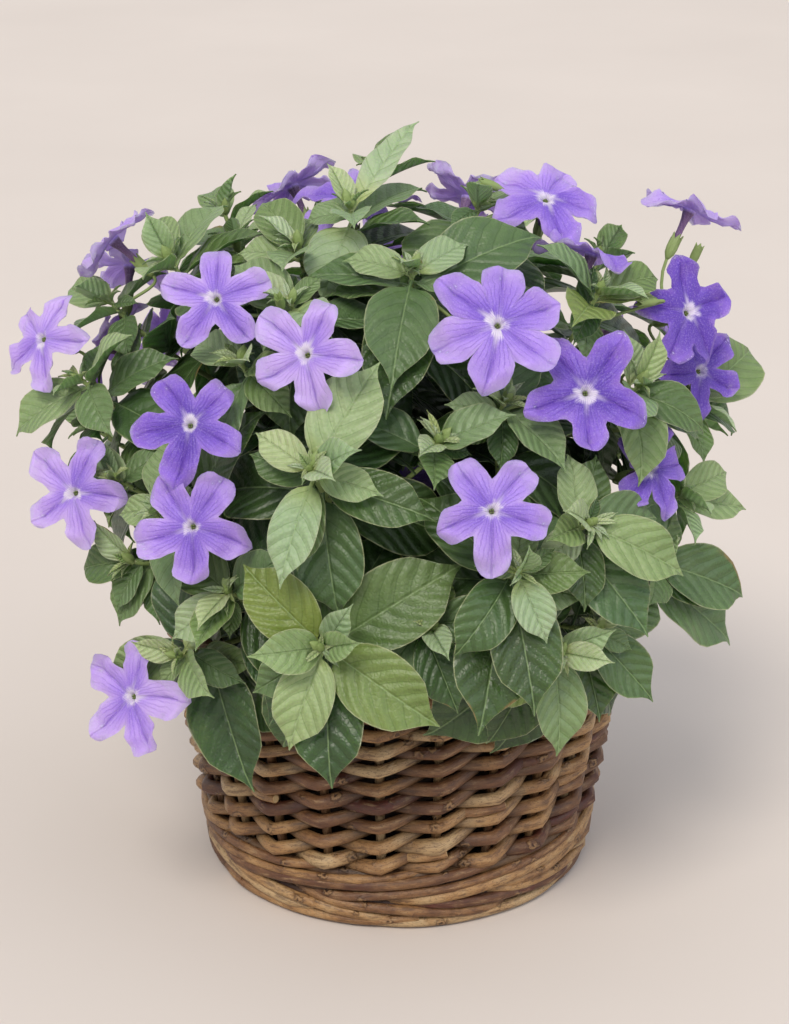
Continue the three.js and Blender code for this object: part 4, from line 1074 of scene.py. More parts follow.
def bloom_skin(bloom, seed):
    """A flower from throat to outline and back under to its tube. A petal's height is
    long * (0.16 r - 0.26 r^2), with a crease along its middle, raised sides, a frill at its
    margin and a tilt of its own. Its length and direction vary a little too. All of that
    fades out where two petals meet."""
    draws = Draws(seed)
    for _ in range(3):  # the first draws of neighbouring seeds are much alike
        draws()
    long, petals = bloom.petal, bloom.petals
    notch, slim = 0.38 + 0.16 * draws(), 0.8 + 0.18 * draws()
    if petals > 5:
        notch, slim = 0.5, 1.12
    angles, radii = lobe_outline(petals, notch, slim)
    columns = len(angles)
    step = 2 * math.pi / petals
    phi = np.tile(angles, petals)
    own = np.array([[draws() for _ in range(8)] for _ in range(petals)]).repeat(columns, 0).T
    middle = 1 - (2 * phi / step) ** 4
    point = np.exp(-((phi / 0.16) ** 2)) * (0.15 * own[7] - 0.06)
    crinkle = 0.018 * np.sin(16 * phi + 6 * own[4])
    outer = np.tile(radii, petals) * (1 + (0.16 * (own[0] - 0.5) + point + crinkle) * middle)
    throat = THROAT_R / long
    shares = np.concatenate([OUTWARD, BACKWARD])[:, None]
    sway = 0.2 * (own[1] - 0.5) * middle * shares**2
    turn = math.radians(bloom.first) + np.repeat(np.arange(petals), columns) * step + phi
    r = throat + (outer - throat) * shares
    x, y = r * np.sin(phi), r * np.cos(phi)
    height = petal_height(r, long)
    crease = np.exp(-((x / 0.06) ** 2)) * smooth((r - 0.12) * 3) * (1 - 0.8 * smooth(shares * 3 - 2))
    height = height - long * 0.075 * crease
    height = height + long * 0.5 * (own[2] - 0.55) * r**2.5 * middle
    height = height + long * 0.4 * np.abs(x) ** 1.5 * smooth(r * 2 - 0.7)
    height = height + long * 0.6 * (own[3] - 0.5) * x * smooth(r * 2 - 0.6) * middle
    waves = 2.3 * y + own[4] + 0.25 * np.tanh(8 * x) + 1.2 * np.abs(x)
    flutter = smooth(shares * 1.6 - 0.6) * smooth(r * 2.5 - 0.9)
    height = height + long * 0.068 * np.sin(2 * np.pi * waves) * flutter
    side = np.concatenate([np.ones(len(OUTWARD)), -np.ones(len(BACKWARD))])[:, None]
    thick = 0.36 * (1 - 0.4 * shares**2)
    height = height + side * thick - np.where(side < 0, 0.5 * (1 - shares) ** 2, 0)
    even = np.ones(phi.size)
    rings = np.vstack([np.outer(DIMPLE[:, 0], even), r * long, np.outer(TUBE[:, 0], even)])
    heights = np.vstack([np.outer(DIMPLE[:, 1], even), height, np.outer(TUBE[:, 1], even)])
    before, after = np.zeros((len(DIMPLE), phi.size)), np.zeros((len(TUBE), phi.size))
    turn = turn + np.vstack([before, sway, after])
    spread = np.cos(turn)[..., None] * bloom.e1 + np.sin(turn)[..., None] * bloom.e2
    grid = bloom.at + rings[..., None] * spread + heights[..., None] * bloom.n
    share = rings / long
    left = np.stack([share * np.sin(phi) + 0.5, share * np.cos(phi)], -1)
    ends = np.roll(phi, -1)
    ends[columns - 1 :: columns] = step / 2
    share_end = np.roll(share, -1, 1)
    right = np.stack([share_end * np.sin(ends) + 0.5, share_end * np.cos(ends)], -1)
    organ = np.concatenate([0 * DIMPLE[:, 0], 0 * OUTWARD, 0 * BACKWARD + 0.4, 0 * TUBE[:, 0] + 1])
    rim = np.concatenate([0 * DIMPLE[:, 0], OUTWARD, BACKWARD, 0 * TUBE[:, 0]])
    depth = bloom.depth + 0.32 * (own[5] - 0.5)
    grid = kept_inside(grid, bloom.at)
    return skin(grid, left, right, tone=depth, warm=organ[:, None], rim=rim[:, None], span=own[6] ** 2)


ANTHER_UP = np.array([0, 0.7, 1.5, 2.1])[:, None]
ANTHER_OUT = np.array([0, 0.1, 0.15, 0])[:, None]
ANTHER_R = np.array([0.3, 0.45, 0.4, 0.2])


def anther_skins(bloom):
    """The small ring of anthers that fills the mouth of the throat."""
    made = []
    for k in range(4):
        out = turned(bloom.e1, bloom.e2, math.radians(bloom.first + 90 * k))
        foot = bloom.at + out * 0.6 - bloom.n * 2.6
        path = foot + bloom.n * ANTHER_UP + out * ANTHER_OUT
        made.append(rod_skin(path, ANTHER_R, 6, bloom.e1, material=1, tone=0.68))
    return made


# Basket


def wall_r(z):
    """Radius of the ring of stakes, which widens evenly with height."""
    return FOOT_STAKE_R + ((RIM_STAKE_R - FOOT_STAKE_R) * z) / RIM_Z


def ring_points(r, stake, z):
    """Points at a radius, at a place counted in stakes, at a height."""
    turn = 2 * np.pi / STAKES * stake + FIRST_STAKE
    return np.stack([r * np.cos(turn), r * np.sin(turn), np.broadcast_to(z, turn.shape)], -1)


def zigzag(x, sharp=0.996):
    """+1 at even numbers and -1 at odd ones, straight between, with the corners rounded."""
    return np.arcsin(sharp * np.cos(np.pi * x)) / math.asin(sharp)


def hum(x, draws, waves=4):
    """A smooth wandering between about -1 and 1: a few waves of drawn length and phase."""
    total = np.zeros_like(x)
    for _ in range(waves):
        length, phase = 1.5 + 6 * draws(), 2 * np.pi * draws()
        total += np.sin(2 * np.pi * x / length + phase)
    return total / math.sqrt(2 * waves)


def weave_z(x):
    """Height of a rod of the wall where it crosses the stake x places from its first."""
    return WEAVE_Z + WEAVE_CLIMB * x - WEAVE_EASE * x * x


def cut_end(path, radius):
    """The pale round face that a slanting cut leaves at the end of a rod."""
    ahead = (path[-1] - path[-2]) / np.linalg.norm(path[-1] - path[-2])
    disc = path[-1] + np.outer([-0.4, 0.25], ahead)
    return rod_skin(disc, [radius * 0.9, radius * 0.82], 10, UP, tone=-1.0, rim=-1)


def with_nodes(thick, x, long, swelling, wide, draws):
    """A rod's radii, swollen at two drawn places of its length."""
    for _ in range(2):
        thick = thick + swelling * np.exp(-(((x - long * draws()) / wide) ** 2))
    return thick


# An old rod's end outside the wall: places from its last stake, and how far out it lies.
STUB_X = np.array([-0.62, -0.5, -0.35, -0.15, 0.02, 0.15])
STUB_OUT = np.array([-1.5, 0.8, 2.9, 4.5, 5.2, 5.5])


def weave_skins():
    """The wall: from every stake a rod climbs to the right, outside one stake and inside the
    next, and each lies on the one before. The higher it gets the less it climbs and the
    thinner it is. It is pieced together from shorter rods, which end inside the wall; here
    and there the end of an old one is left outside, cut off beyond the stake."""
    draws, made = Draws(7), []
    for k in range(STAKES):
        first, last = -1, WEAVE_STROKES
        while first < last:
            span = min(2 * (1 + int(3.4 * draws())), last - first)
            x = np.linspace(first, first + span, span * 8 + 1)
            side = zigzag(x)
            z = weave_z(x) - WEAVE_SAG * side + 0.45 * hum(x, draws)
            r = wall_r(z) + WEAVE_SWING * side + 0.35 * hum(x, draws)
            thick = ROD_R * (1.1 - 0.2 * draws()) * np.interp(x, [0, WEAVE_STROKES], [1.06, 0.84])
            thick = thick * (0.94 + 0.08 * np.cos(np.pi * x))
            thick = with_nodes(thick, x - first, span, 0.4, 0.12, draws)
            tone, grain = draws(), draws()
            path = ring_points(r, k + x, z)
            # rim: painted shade, darkest where the rod passes inside a stake.
            made.append(rod_skin(path, thick, 10, UP, tone=tone, warm=grain, rim=-side))
            first += span
            if draws() < 0.2 and first < last:
                x = first + STUB_X
                z = weave_z(x) + np.linspace(0, 1.6, 6) * (draws() - 0.7)
                path, thin = ring_points(wall_r(z) + STUB_OUT, k + x, z), 2.1 + 0.5 * draws()
                made.append(rod_skin(path, thin, 10, UP, tone=draws(), warm=draws(), rim=-1))
                made.append(cut_end(path, thin))
    return made


FOOT_LAYER = 5.1
FOOT_ROD_R = 2.75
FOOT_RODS = 12  # in a round
# Rounds of the foot: its rods' first layer, how many layers they climb, and how many of
# them lie over one another.
FOOT_ROUNDS = [(2.3, -1.8, 2), (2.5, 2.8, 3)]


FOOT_END = 0.35  # how far a rod's end reaches under its neighbours, in rods


def foot_skins():
    """The foot: a ring of long rods outside all stakes, and two rounds of rods outside it
    and over one another, the lower round slanting down to the right and the upper one up.
    Further in, the same rods fill the layers as plain rings."""
    draws, made = Draws(11), []
    for k in range(6):
        i = np.linspace(k * STAKES / 6 - 0.5, (k + 1) * STAKES / 6 + 0.7, 30)
        share = np.linspace(0, 1, 30)
        r = FOOT_STAKE_R + WEAVE_SWING - 0.6 + 1.6 * (smooth(share * 4) - 1) + 0.4 * hum(i, draws)
        path = ring_points(r, i, FOOT_Z + 0.15 + 2.2 * smooth((share - 0.75) * 4))
        thick = FOOT_ROD_R * np.linspace(1.02, 0.85, 30)
        made.append(rod_skin(path, thick, 10, UP, tone=draws(), warm=draws(), rim=-1))
    for layer in (1, 2, 3, 4, 5):
        i = np.linspace(0, STAKES, 24 * 3)
        z = FOOT_Z + layer * FOOT_LAYER + 0.5 * hum(i, draws)
        path = ring_points(wall_r(z) + 2.2, i, z)
        # rim: some painted shade on the plain rings further in.
        made.append(rod_skin(path, FOOT_ROD_R, 8, UP, tone=draws(), warm=draws(), rim=0.2))
    for low, climb, deep in FOOT_ROUNDS:
        bends = [-FOOT_END, 0, 0.25, deep - 0.25, deep, deep + FOOT_END]
        for k in range(FOOT_RODS):
            x = np.linspace(bends[0], bends[-1], 10 * deep + 8)
            i = (k + x + 0.35 * draws()) * STAKES / FOOT_RODS
            out = np.interp(x, bends, [-0.4, 0.5, 1, 1, 0.5, -0.4])
            out = np.convolve(np.pad(out, 1, "edge"), [0.25, 0.5, 0.25], "valid")
            z = FOOT_Z + FOOT_LAYER * (low + climb * x / deep) + 0.6 * hum(i, draws)
            r = wall_r(z) + WEAVE_SWING * out + 0.5 * hum(i, draws)
            thick = FOOT_ROD_R * (1.08 - 0.3 * draws()) * np.linspace(1.08, 0.86, len(x))
            thick = with_nodes(thick, x, deep, 0.45, 0.06, draws)
            path = ring_points(r, i, z)
            # rim: painted shade, darker where the rod turns inside.
            made.append(rod_skin(path, thick, 10, UP, tone=draws(), warm=draws(), rim=-out))
    return made


def rim_skins():
    """The border: three rods twisted round one another into a rope."""
    draws, made = Draws(5), []
    for k in range(3):
        i = np.linspace(0, STAKES, 24 * 12 + 1)[:-1]
        twist = 2 * np.pi * (RIM_TWISTS * i / STAKES + k / 3)
        r, z = RIM_STAKE_R + RIM_TWIST_R * np.cos(twist), RIM_Z + RIM_TWIST_R * np.sin(twist)
        path = ring_points(r, i, z)
        path = np.vstack([path, path[:1]])
        thick = RIM_ROD_R + 0.12 * hum(np.linspace(0, STAKES, len(path)), draws)
        made.append(rod_skin(path, thick, 10, UP, tone=0.3 * k + 0.2, warm=draws(), rim=-0.5))
    return made


def stake_skins():
    """Stakes that leave the base and stand up the wall, and the base: a rod in a flat
    spiral over crossed sticks."""
    draws, made = Draws(3), []
    for k in range(STAKES):
        z = np.array([2.6, 2.7, 3.2, 6, 20, 40, 60, 80, 100, RIM_Z - 4])
        r = np.where(z > 3, wall_r(z), FOOT_STAKE_R - 2)
        r[0], r[1] = BASE_R - 8, FOOT_STAKE_R - 4
        turn = 2 * math.pi / STAKES * k + FIRST_STAKE
        tangent = np.array([-math.sin(turn), math.cos(turn), 0])
        path = ring_points(r, np.full(len(z), float(k)), z) + np.outer(0.35 * hum(z / 20, draws), tangent)
        thick = STAKE_R * np.linspace(1.22, 1.05, len(z))
        # rim: painted shade on the stakes between the rods.
        made.append(rod_skin(path, thick, 8, tangent, tone=0.7 * draws(), warm=draws(), rim=-0.2))
    t = np.linspace(0.5, BASE_TURNS, 620)
    r, turn = BASE_R - 3 - BASE_STEP * (BASE_TURNS - t), 2 * np.pi * t
    spiral = np.stack([r * np.cos(turn), r * np.sin(turn), 2.75 + 0.25 * np.cos(t * 11.5 * np.pi)], -1)
    # rim: painted shade on the base: some on the spiral, more on the sticks under it.
    made.append(rod_skin(spiral, BASE_ROD_R, 8, UP, tone=0.35, warm=0.5, rim=0.3))
    for k in range(BASE_STICKS):
        turn = math.pi * k / BASE_STICKS
        across = np.array([math.cos(turn), math.sin(turn), 0])
        path = np.outer(np.linspace(2 - BASE_R, BASE_R - 2, 9), across) + (0, 0, BASE_STICK_Z)
        made.append(rod_skin(path, BASE_STICK_R, 6, UP, tone=0.6, warm=0.4, rim=0.6))
    return made


# Pot and compost


def lathe_skin(profile, around, **marks):
    """A profile of radius and height turned about the axis."""
    turns = 2 * np.pi * np.arange(around) / around
    profile = np.asarray(profile, float)
    r, z = profile[:, :1], np.broadcast_to(profile[:, 1:], (len(profile), around))
    grid = np.stack([r * np.cos(turns), r * np.sin(turns), z], -1)
    along = np.broadcast_to(lengths_along(profile)[:, None], z.shape)
    left = np.stack([along, np.broadcast_to(np.arange(around) * 6.0, z.shape)], -1)
    return skin(grid, left, left + (0, 6.0), **marks)


def pot_r(z):
    """The pot's outer radius, which widens evenly with height."""
    return POT_FOOT_R + ((POT_TOP_R - POT_FOOT_R) * (z - BASE_T)) / (POT_TOP_Z - BASE_T)


def pot_skin():
    """A thin tapered pot with a rounded lip."""
    floor = BASE_T + 0.3
    top = POT_TOP_Z
    profile = [
        (0.5, floor), (POT_FOOT_R - 4, floor), (POT_FOOT_R - 1, floor + 1), (pot_r(floor + 4), floor + 4),
        (pot_r(60), 60), (pot_r(top - 9) - 0.2, top - 9), (pot_r(top - 8), top - 8), (POT_TOP_R, top - 1),
        (POT_TOP_R - 0.4, top - 0.2), (POT_TOP_R - 0.9, top), (POT_TOP_R - 1.5, top - 0.3),
        (POT_TOP_R - POT_WALL, top - 1), (pot_r(60) - POT_WALL, 60),
        (POT_FOOT_R - POT_WALL, floor + POT_WALL + 2), (POT_FOOT_R - POT_WALL - 3, floor + POT_WALL),
        (0.5, floor + POT_WALL),
    ]
    return lathe_skin(profile, 72)


def soil_skins():
    """Compost: a mound whose top is heaped by a few waves, and crumbs that lie on it."""
    draws = Draws(9)
    edge = pot_r(SOIL_Z) - POT_WALL - 0.6
    floor = BASE_T + POT_WALL + 0.6
    r = np.concatenate([[0.5, POT_FOOT_R - 4], [edge], np.linspace(edge - 1, 1, 22)])
    base = np.interp(r, [0, edge * 0.8, edge], [SOIL_Z + SOIL_MOUND, SOIL_Z + SOIL_MOUND, SOIL_Z])
    base[:3] = floor, floor, SOIL_Z - 1
    around = 72
    turns = 2 * np.pi * np.arange(around) / around
    x, y = r[:, None] * np.cos(turns), r[:, None] * np.sin(turns)
    heap = np.zeros_like(x)
    for _ in range(26):
        a, k, phase = 2 * np.pi * draws(), 0.1 + 0.5 * draws(), 2 * np.pi * draws()
        heap += np.sin(k * (x * math.cos(a) + y * math.sin(a)) + phase) * 0.16 / k**0.5
    heap[:3] = 0
    grid = np.stack([x, y, base[:, None] + np.clip(heap, -1.6, 0.8) - 0.8 * (heap != 0)], -1)
    left = np.stack([x, y], -1)
    made = [skin(grid, left, np.roll(left, -1, 1), tone=0.3)]
    for _ in range(CRUMBS):
        where = polar(edge * 0.96 * math.sqrt(draws()), 2 * math.pi * draws(), 0)
        height = np.interp(math.hypot(*where[:2]), [edge * 0.8, edge], [SOIL_Z + SOIL_MOUND, SOIL_Z])
        where[2] = height - 0.6
        long, way = 1.2 + 2.4 * draws(), 2 * math.pi * draws()
        ahead = np.array([math.cos(way), math.sin(way), 0.3 * (draws() - 0.5)])
        path = where + np.outer([-1, -0.6, 0.5, 1], ahead * long)
        fat = long * (0.3 + 0.4 * draws())
        made.append(rod_skin(path, fat * np.array([0.3, 1, 0.9, 0.2]), 5, UP, tone=draws(), warm=draws()))
    return made

# Finishes


def tint(code):
    """An sRGB hex colour as linear RGBA."""
    raw = [int(code[i : i + 2], 16) / 255 for i in (1, 3, 5)]
    return (*(c / 12.92 if c <= 0.04045 else ((c + 0.055) / 1.055) ** 2.4 for c in raw), 1.0)


# Kinds of node that have usual settings, or that are fed or read at other places than the
# first: those settings, the inputs in order, and the output.
KINDS = {
    "Attribute": ({}, (), 2), "TexCoord": ({}, (), 3), "UVMap": ({"uv_map": "pattern"}, (), 0),
    "Mix": ({"data_type": "RGBA"}, (0, 6, 7), 2),
    "MapRange": ({"interpolation_type": "SMOOTHSTEP"}, range(5), 0),
    "TexNoise": ({}, ("Vector", "Scale", "Detail", "Roughness"), 0),
    "TexVoronoi": ({}, ("Vector", "Scale"), 0), "Bump": ({}, ("Strength", "Distance", "Height"), 0),
}


def add(tree, kind, *feeds, out=None, stops=(), **settings):
    """Adds one node with its settings, and feeds each input a value or another node's output.
    Mathematics multiplies two values, and adds a third, unless set otherwise; stops are a
    ramp's places and colours. Gives one output."""
    made = tree.nodes.new("ShaderNode" + kind)
    usual, inputs, output = KINDS.get(kind, ({}, range(len(feeds)), 0))
    if kind in ("Math", "VectorMath"):
        usual = {"operation": "MULTIPLY" if len(feeds) < 3 else "MULTIPLY_ADD"}
    for key, value in {**usual, **settings}.items():
        setattr(made, key, value)
    for i, (place, code) in enumerate(stops):
        ramp = made.color_ramp.elements
        element = ramp[i] if i < len(ramp) else ramp.new(1.0)
        element.position = place
        element.color = tint(code)
    for key, value in zip(inputs, feeds):
        if isinstance(value, bpy.types.NodeSocket):
            tree.links.new(value, made.inputs[key])
        else:
            made.inputs[key].default_value = value
    return made.outputs[output if out is None else out]


def finish(name, build, rough, depth, **shader):
    """A material. build gives its tree's colour, a value that takes the roughness from one
    end to the other, and a height, whose relief is that deep in metres."""
    material = bpy.data.materials.new(name)
    material.use_nodes = True
    tree = material.node_tree
    tree.nodes.clear()
    surface = tree.nodes.new("ShaderNodeBsdfPrincipled")
    output = tree.nodes.new("ShaderNodeOutputMaterial")
    tree.links.new(surface.outputs[0], output.inputs[0])
    for key, value in shader.items():
        surface.inputs[key.replace("_", " ")].default_value = value
    color, gloss, height = build(partial(add, tree))
    rough = add(tree, "MapRange", gloss, 0.0, 1.0, *rough, interpolation_type="LINEAR")
    bump = add(tree, "Bump", 1.0, depth, height)
    for key, value in {"Base Color": color, "Roughness": rough, "Normal": bump}.items():
        tree.links.new(value, surface.inputs[key])
    return material


def in_pattern(add):
    """A place in a blade's or petal's pattern: across from its middle, how far, and along."""
    both = add("UVMap")
    across = add("Math", add("SeparateXYZ", both), 0.5, operation="SUBTRACT")
    return across, add("Math", across, operation="ABSOLUTE"), add("SeparateXYZ", both, out=1)


def living_leaf(add):
    """Leaf tissue: matt, soft green, pale and greyish while young and bluish dark when old.
    Six or seven side veins a side leave the midrib and curve forward, sunk in the tissue;
    between them fine veins make cells 2 mm wide. The margin is thin and pale."""
    across, far, y = in_pattern(add)
    where = add("TexCoord")
    marks = (*MARKS, "under")
    tone, warm, rim, span, under = (add("Attribute", attribute_name=key) for key in marks)
    # Side veins: y - 0.7 far - 1.8 far^2 stays the same along one of them.
    sway = add("Math", add("TexNoise", where, 60.0, 2.0), 0.09, -0.045)
    climb = add("Math", far, add("Math", far, 1.8, 0.7))
    root = add("Math", y, climb, operation="SUBTRACT")
    root = add("Math", root, sway, operation="ADD")
    side = add("Math", add("Math", across, 0.0, operation="GREATER_THAN"), 0.45)
    off = add("Math", add("Math", root, 7.4, side), 0.5, operation="PINGPONG")
    vein = add("MapRange", off, 0.0, 0.085, 1.0, 0.0)
    swell = add("MapRange", off, 0.0, 0.46, 0.0, 1.0)
    middle = add("MapRange", far, 0.0, 0.022, 1.0, 0.0)
    line = add("MapRange", far, 0.002, 0.008, 1.0, 0.0)
    edge = add("MapRange", rim, 0.955, 0.995, 0.0, 1.0)
    cells = add("TexVoronoi", where, 480.0, feature="DISTANCE_TO_EDGE")
    cell = add("MapRange", cells, 0.0, 0.25, 0.0, 1.0)
    # Colour: by age, mottled, and yellow where it withers and at a young leaf's foot.
    mottle = add("Math", add("TexNoise", where, 40.0, 4.0), 0.34, -0.17)
    age = add("Math", tone, mottle, operation="ADD")
    places = (0.0, 0.2, 0.42, 0.68, 1.0)
    greens = ("#a9b896", "#8ea47c", "#627b50", "#3b5732", "#1d311a")
    yellows = ("#b2ba72", "#98a558", "#75843a", "#546628", "#334217")
    green, yellow = (add("ValToRGB", age, stops=zip(places, codes)) for codes in (greens, yellows))
    foot = add("MapRange", y, 0.1, 0.4, 0.75, 0.0)
    young = add("MapRange", tone, 0.1, 0.45, 1.0, 0.0)
    warm = add("Math", warm, add("Math", foot, young), operation="MAXIMUM")
    green = add("Mix", warm, green, yellow)
    # Over it the fine veins, side veins, midrib, margin and underside. Here and there the
    # margin has dried up brown.
    worn = add("MapRange", add("TexNoise", where, 22.0, 5.0), 0.66, 0.7, 0.0, 0.8)
    outer = add("MapRange", rim, 0.8, 0.95, 0.0, 1.0)
    coats = (
        (add("Math", cell, -0.07, 0.07), "#2f4a33", "MIX"), (add("Math", vein, 0.6), "#b4c39a", "MULTIPLY"),
        (add("Math", line, 0.42), "#93ab74", "MIX"), (add("Math", edge, 0.55), "#b3ba86", "MIX"),
        (add("Math", under, 0.5), "#8ea783", "MIX"), (add("Math", worn, outer), "#7d6238", "MIX"),
    )
    for share, code, blend in coats:
        green = add("Mix", share, green, tint(code), blend_type=blend)
    # Height: pillows between the side veins, in keeping with the leaf's length, and cells.
    height = add("Math", cell, 0.12, add("Math", swell, add("Math", span, 0.7, 0.3)))
    height = add("Math", height, add("Math", middle, 0.6), operation="SUBTRACT")
    return green, tone, add("Math", add("TexNoise", where, 300.0, 4.0), 0.75, height)


def green_stem(add):
    """Stems and calyxes: fleshy and green near the tips, browner and barky where old."""
    where = add("TexCoord")
    speck = add("TexNoise", where, 900.0, 3.0)
    tone = add("Attribute", attribute_name="tone")
    age = add("Math", add("TexNoise", where, 110.0, 2.0), 0.3, tone)
    ages = ((0.15, "#5a4038"), (0.45, "#66573a"), (0.75, "#6d7a45"), (1.0, "#86995c"))
    return add("ValToRGB", age, stops=ages), speck, speck


def violet_petal(add):
    """Petals: thin and satiny, violet, with fine darker veins that fan out from the throat,
    a crease along the middle darkened by painted shade, and a small white star round the
    throat. Light passes through them, and their backs are painted paler: partly their own
    paler colour, partly a painted glow of that light. Fine grains carry painted glints. The
    tube is brownish violet."""
    across, far, y = in_pattern(add)
    where = add("TexCoord")
    depth, organ, rim, span = (add("Attribute", attribute_name=key) for key in MARKS)
    reach = add("VectorMath", add("CombineXYZ", across, y), out=1, operation="LENGTH")
    # Veins: lines of one angle seen from a little inside the throat.
    wander = add("TexNoise", where, 260.0, 3.0)
    lower = add("Math", y, 0.16, operation="ADD")
    angle = add("Math", wander, 0.12, add("Math", across, lower, operation="ARCTAN2"))
    fan = add("Math", add("Math", angle, 10.0), 0.5, operation="PINGPONG")
    fade = add("MapRange", rim, 0.45, 1.0, 1.0, 0.2)
    vein = add("Math", add("MapRange", fan, 0.0, 0.15, 1.0, 0.0), fade)
    crease = add("MapRange", far, 0.0, 0.03, 1.0, 0.0)
    # Colour: lighter and deeper clouds.
    patch = add("TexNoise", where, 80.0, 4.0)
    shade = add("Math", depth, add("Math", patch, 0.5, 0.03), operation="ADD")
    depths = ((0.0, "#b99ee9"), (0.35, "#9f81dc"), (0.7, "#7c5cc4"), (1.0, "#5c3ea6"))
    violet = add("ValToRGB", add("Math", rim, -0.5, shade), stops=depths)
    # The star: one ray to a petal, and a core with a torn edge.
    ray = add("MapRange", far, 0.01, 0.06, 1.0, 0.0)
    ray = add("Math", ray, add("MapRange", y, 0.1, 0.42, 1.0, 0.0))
    edge = add("Math", reach, add("Math", wander, 0.24, -0.12), operation="ADD")
    edge = add("Math", vein, 0.05, add("Math", span, -0.09, edge))
    core = add("MapRange", edge, 0.04, 0.17, 1.0, 0.0)
    star = add("Math", add("Math", ray, span), core, operation="MAXIMUM")
    grain = add("TexNoise", where, 1500.0, 2.0)
    # Over the clouds: veins, the crease in painted shade, star, throat, the paler back with its painted
    # glow, tube, and grains with painted glints.
    coats = (
        # The crease is painted darker: painted shade in the fold along each petal's middle.
        (add("Math", vein, 0.24), "#6d48b4"), (add("Math", crease, 0.32), "#7450ba"),
        (add("Math", star, 0.85), "#e2daea"), (add("MapRange", reach, 0.02, 0.06, 0.85, 0.0), "#645a44"),
        # The back is painted paler: partly its own paler colour, partly a painted glow of light passing
        # through.
        (add("Math", add("Math", organ, 0.2, operation="GREATER_THAN"), 0.75), "#c6b2ff"),
        (add("MapRange", organ, 0.5, 0.9, 0.0, 1.0, interpolation_type="LINEAR"), "#7c5f86"),
        # Painted glints: fine grains lightened like tiny highlights.
        (add("MapRange", grain, 0.48, 0.72, 0.0, 0.2), "#cdbaee"),
    )
    for share, code in coats:
        violet = add("Mix", share, violet, tint(code))
    sunk = add("Math", crease, -0.8, add("Math", vein, -0.5))
    return violet, patch, add("Math", grain, 0.3, sunk)


BARK_APART = 900.0  # millimetres over which the places in the pattern where rods start spread


def willow_bark(add):
    """Willow rods in their bark, dried: olive tan to brown and now and then dark red,
    streaked along the rod, with small pores, and with ringed knots about 5 mm across."""
    # inner reads the rim mark: how much painted shade a rod gets.
    tone, warm, inner = (add("Attribute", attribute_name=key) for key in MARKS[:3])
    start = add("Math", warm, BARK_APART)
    place = add("VectorMath", add("UVMap"), add("CombineXYZ", start, 0.0, start), operation="ADD")
    streak = add("TexNoise", add("VectorMath", place, (0.12, 0.55, 1.0)), 1.0, 4.0, 0.6)
    fibre = add("TexNoise", add("VectorMath", place, (0.5, 2.6, 1.0)), 1.0, 3.0)
    cast = add("TexNoise", place, 0.07, 3.0)
    bent = add("VectorMath", add("TexNoise", place, 0.6, out=1), (5.0, 2.4, 0.0), place)
    dots = add("TexVoronoi", bent, 0.062, voronoi_dimensions="2D")
    rare = add("MapRange", cast, 0.47, 0.56, 0.0, 1.0)
    pores = add("TexVoronoi", place, 0.5, voronoi_dimensions="2D")
    # Colour: the rod's own, which drifts along it.
    kind = add("Math", tone, add("Math", cast, 1.1, -0.55), operation="ADD")
    places = (0.0, 0.28, 0.55, 0.86, 1.0)
    kinds = ("#b0946c", "#a17a4d", "#7b5635", "#5a3722", "#52241a")
    bark = add("ValToRGB", kind, stops=zip(places, kinds))
    places = (0.0, 0.03, 0.06, 0.1, 0.15)
    rings = ("#160c07", "#3a2315", "#7d5c3c", "#9a7850", "#3c2415")
    eye = add("ValToRGB", dots, stops=zip(places, rings))
    # Over it: pale and dark streaks, fibres, pores, knots, painted shade inside the weave and deeper in the
    # basket, cut ends.
    coats = (
        (add("MapRange", streak, 0.52, 0.72, 0.0, 0.4), tint("#bb9c72")),
        (add("MapRange", streak, 0.5, 0.34, 0.0, 0.6), tint("#452917")),
        (add("MapRange", fibre, 0.48, 0.34, 0.0, 0.45), tint("#3a2213")),
        (add("MapRange", pores, 0.05, 0.17, 0.5, 0.0), tint("#33200f")),
        (add("Math", add("MapRange", dots, 0.13, 0.2, 0.8, 0.0), rare), eye),
        # Painted shade: rods darkened where they pass inside the weave or lie under others.
        (add("MapRange", inner, -0.8, 0.7, 0.0, 0.85), tint("#22150b")),
        (add("MapRange", tone, -0.6, -0.4, 0.9, 0.0, interpolation_type="LINEAR"), tint("#c3a678")),
    )
    for share, color in coats:
        bark = add("Mix", share, bark, color)
    # Height: fine fibres, and a low swelling round each knot with a pit in it.
    knot = add("Math", add("MapRange", dots, 0.07, 0.24, 1.0, 0.0), rare)
    scar = add("Math", add("MapRange", dots, 0.02, 0.055, 1.0, 0.0), rare)
    height = add("Math", add("Math", fibre, 0.3, knot), scar, operation="SUBTRACT")
    return bark, streak, height


def moulded_brown(add):
    """Grow pot: moulded polypropylene, dark brown, dusty with dried splashes of compost."""
    where = add("TexCoord")
    dust = add("TexNoise", where, 60.0, 6.0)
    browns = ((0.35, "#2f2420"), (0.6, "#3a2c25"), (0.8, "#5a4a3c"))
    return add("ValToRGB", dust, stops=browns), dust, add("TexNoise", where, 1500.0)


def peat_compost(add):
    """Peat compost: nearly black, rough, with paler fibres and a few pale grains."""
    lumps = add("TexNoise", add("TexCoord"), 260.0, 6.0, 0.7)
    kind = add("Math", add("Attribute", attribute_name="tone"), 0.3, lumps)
    darks = ((0.3, "#17110d"), (0.6, "#2c2018"), (0.8, "#47352a"), (0.95, "#6d5a49"))
    return add("ValToRGB", kind, stops=darks), lumps, lumps


def matt_floor(add):
    """Pale matt paint."""
    cloud = add("TexNoise", add("TexCoord"), 3.0, 4.0)
    return add("ValToRGB", cloud, stops=((0.3, "#d0c6be"), (0.7, "#d4cac2"))), cloud, cloud


def soft(share, colour, millimetres):
    """Light that passes through tissue: its share, and how far each colour goes."""
    keys = ("Subsurface_Weight", "Subsurface_Radius", "Subsurface_Scale")
    return dict(zip(keys, (share, colour, millimetres / 1000)))


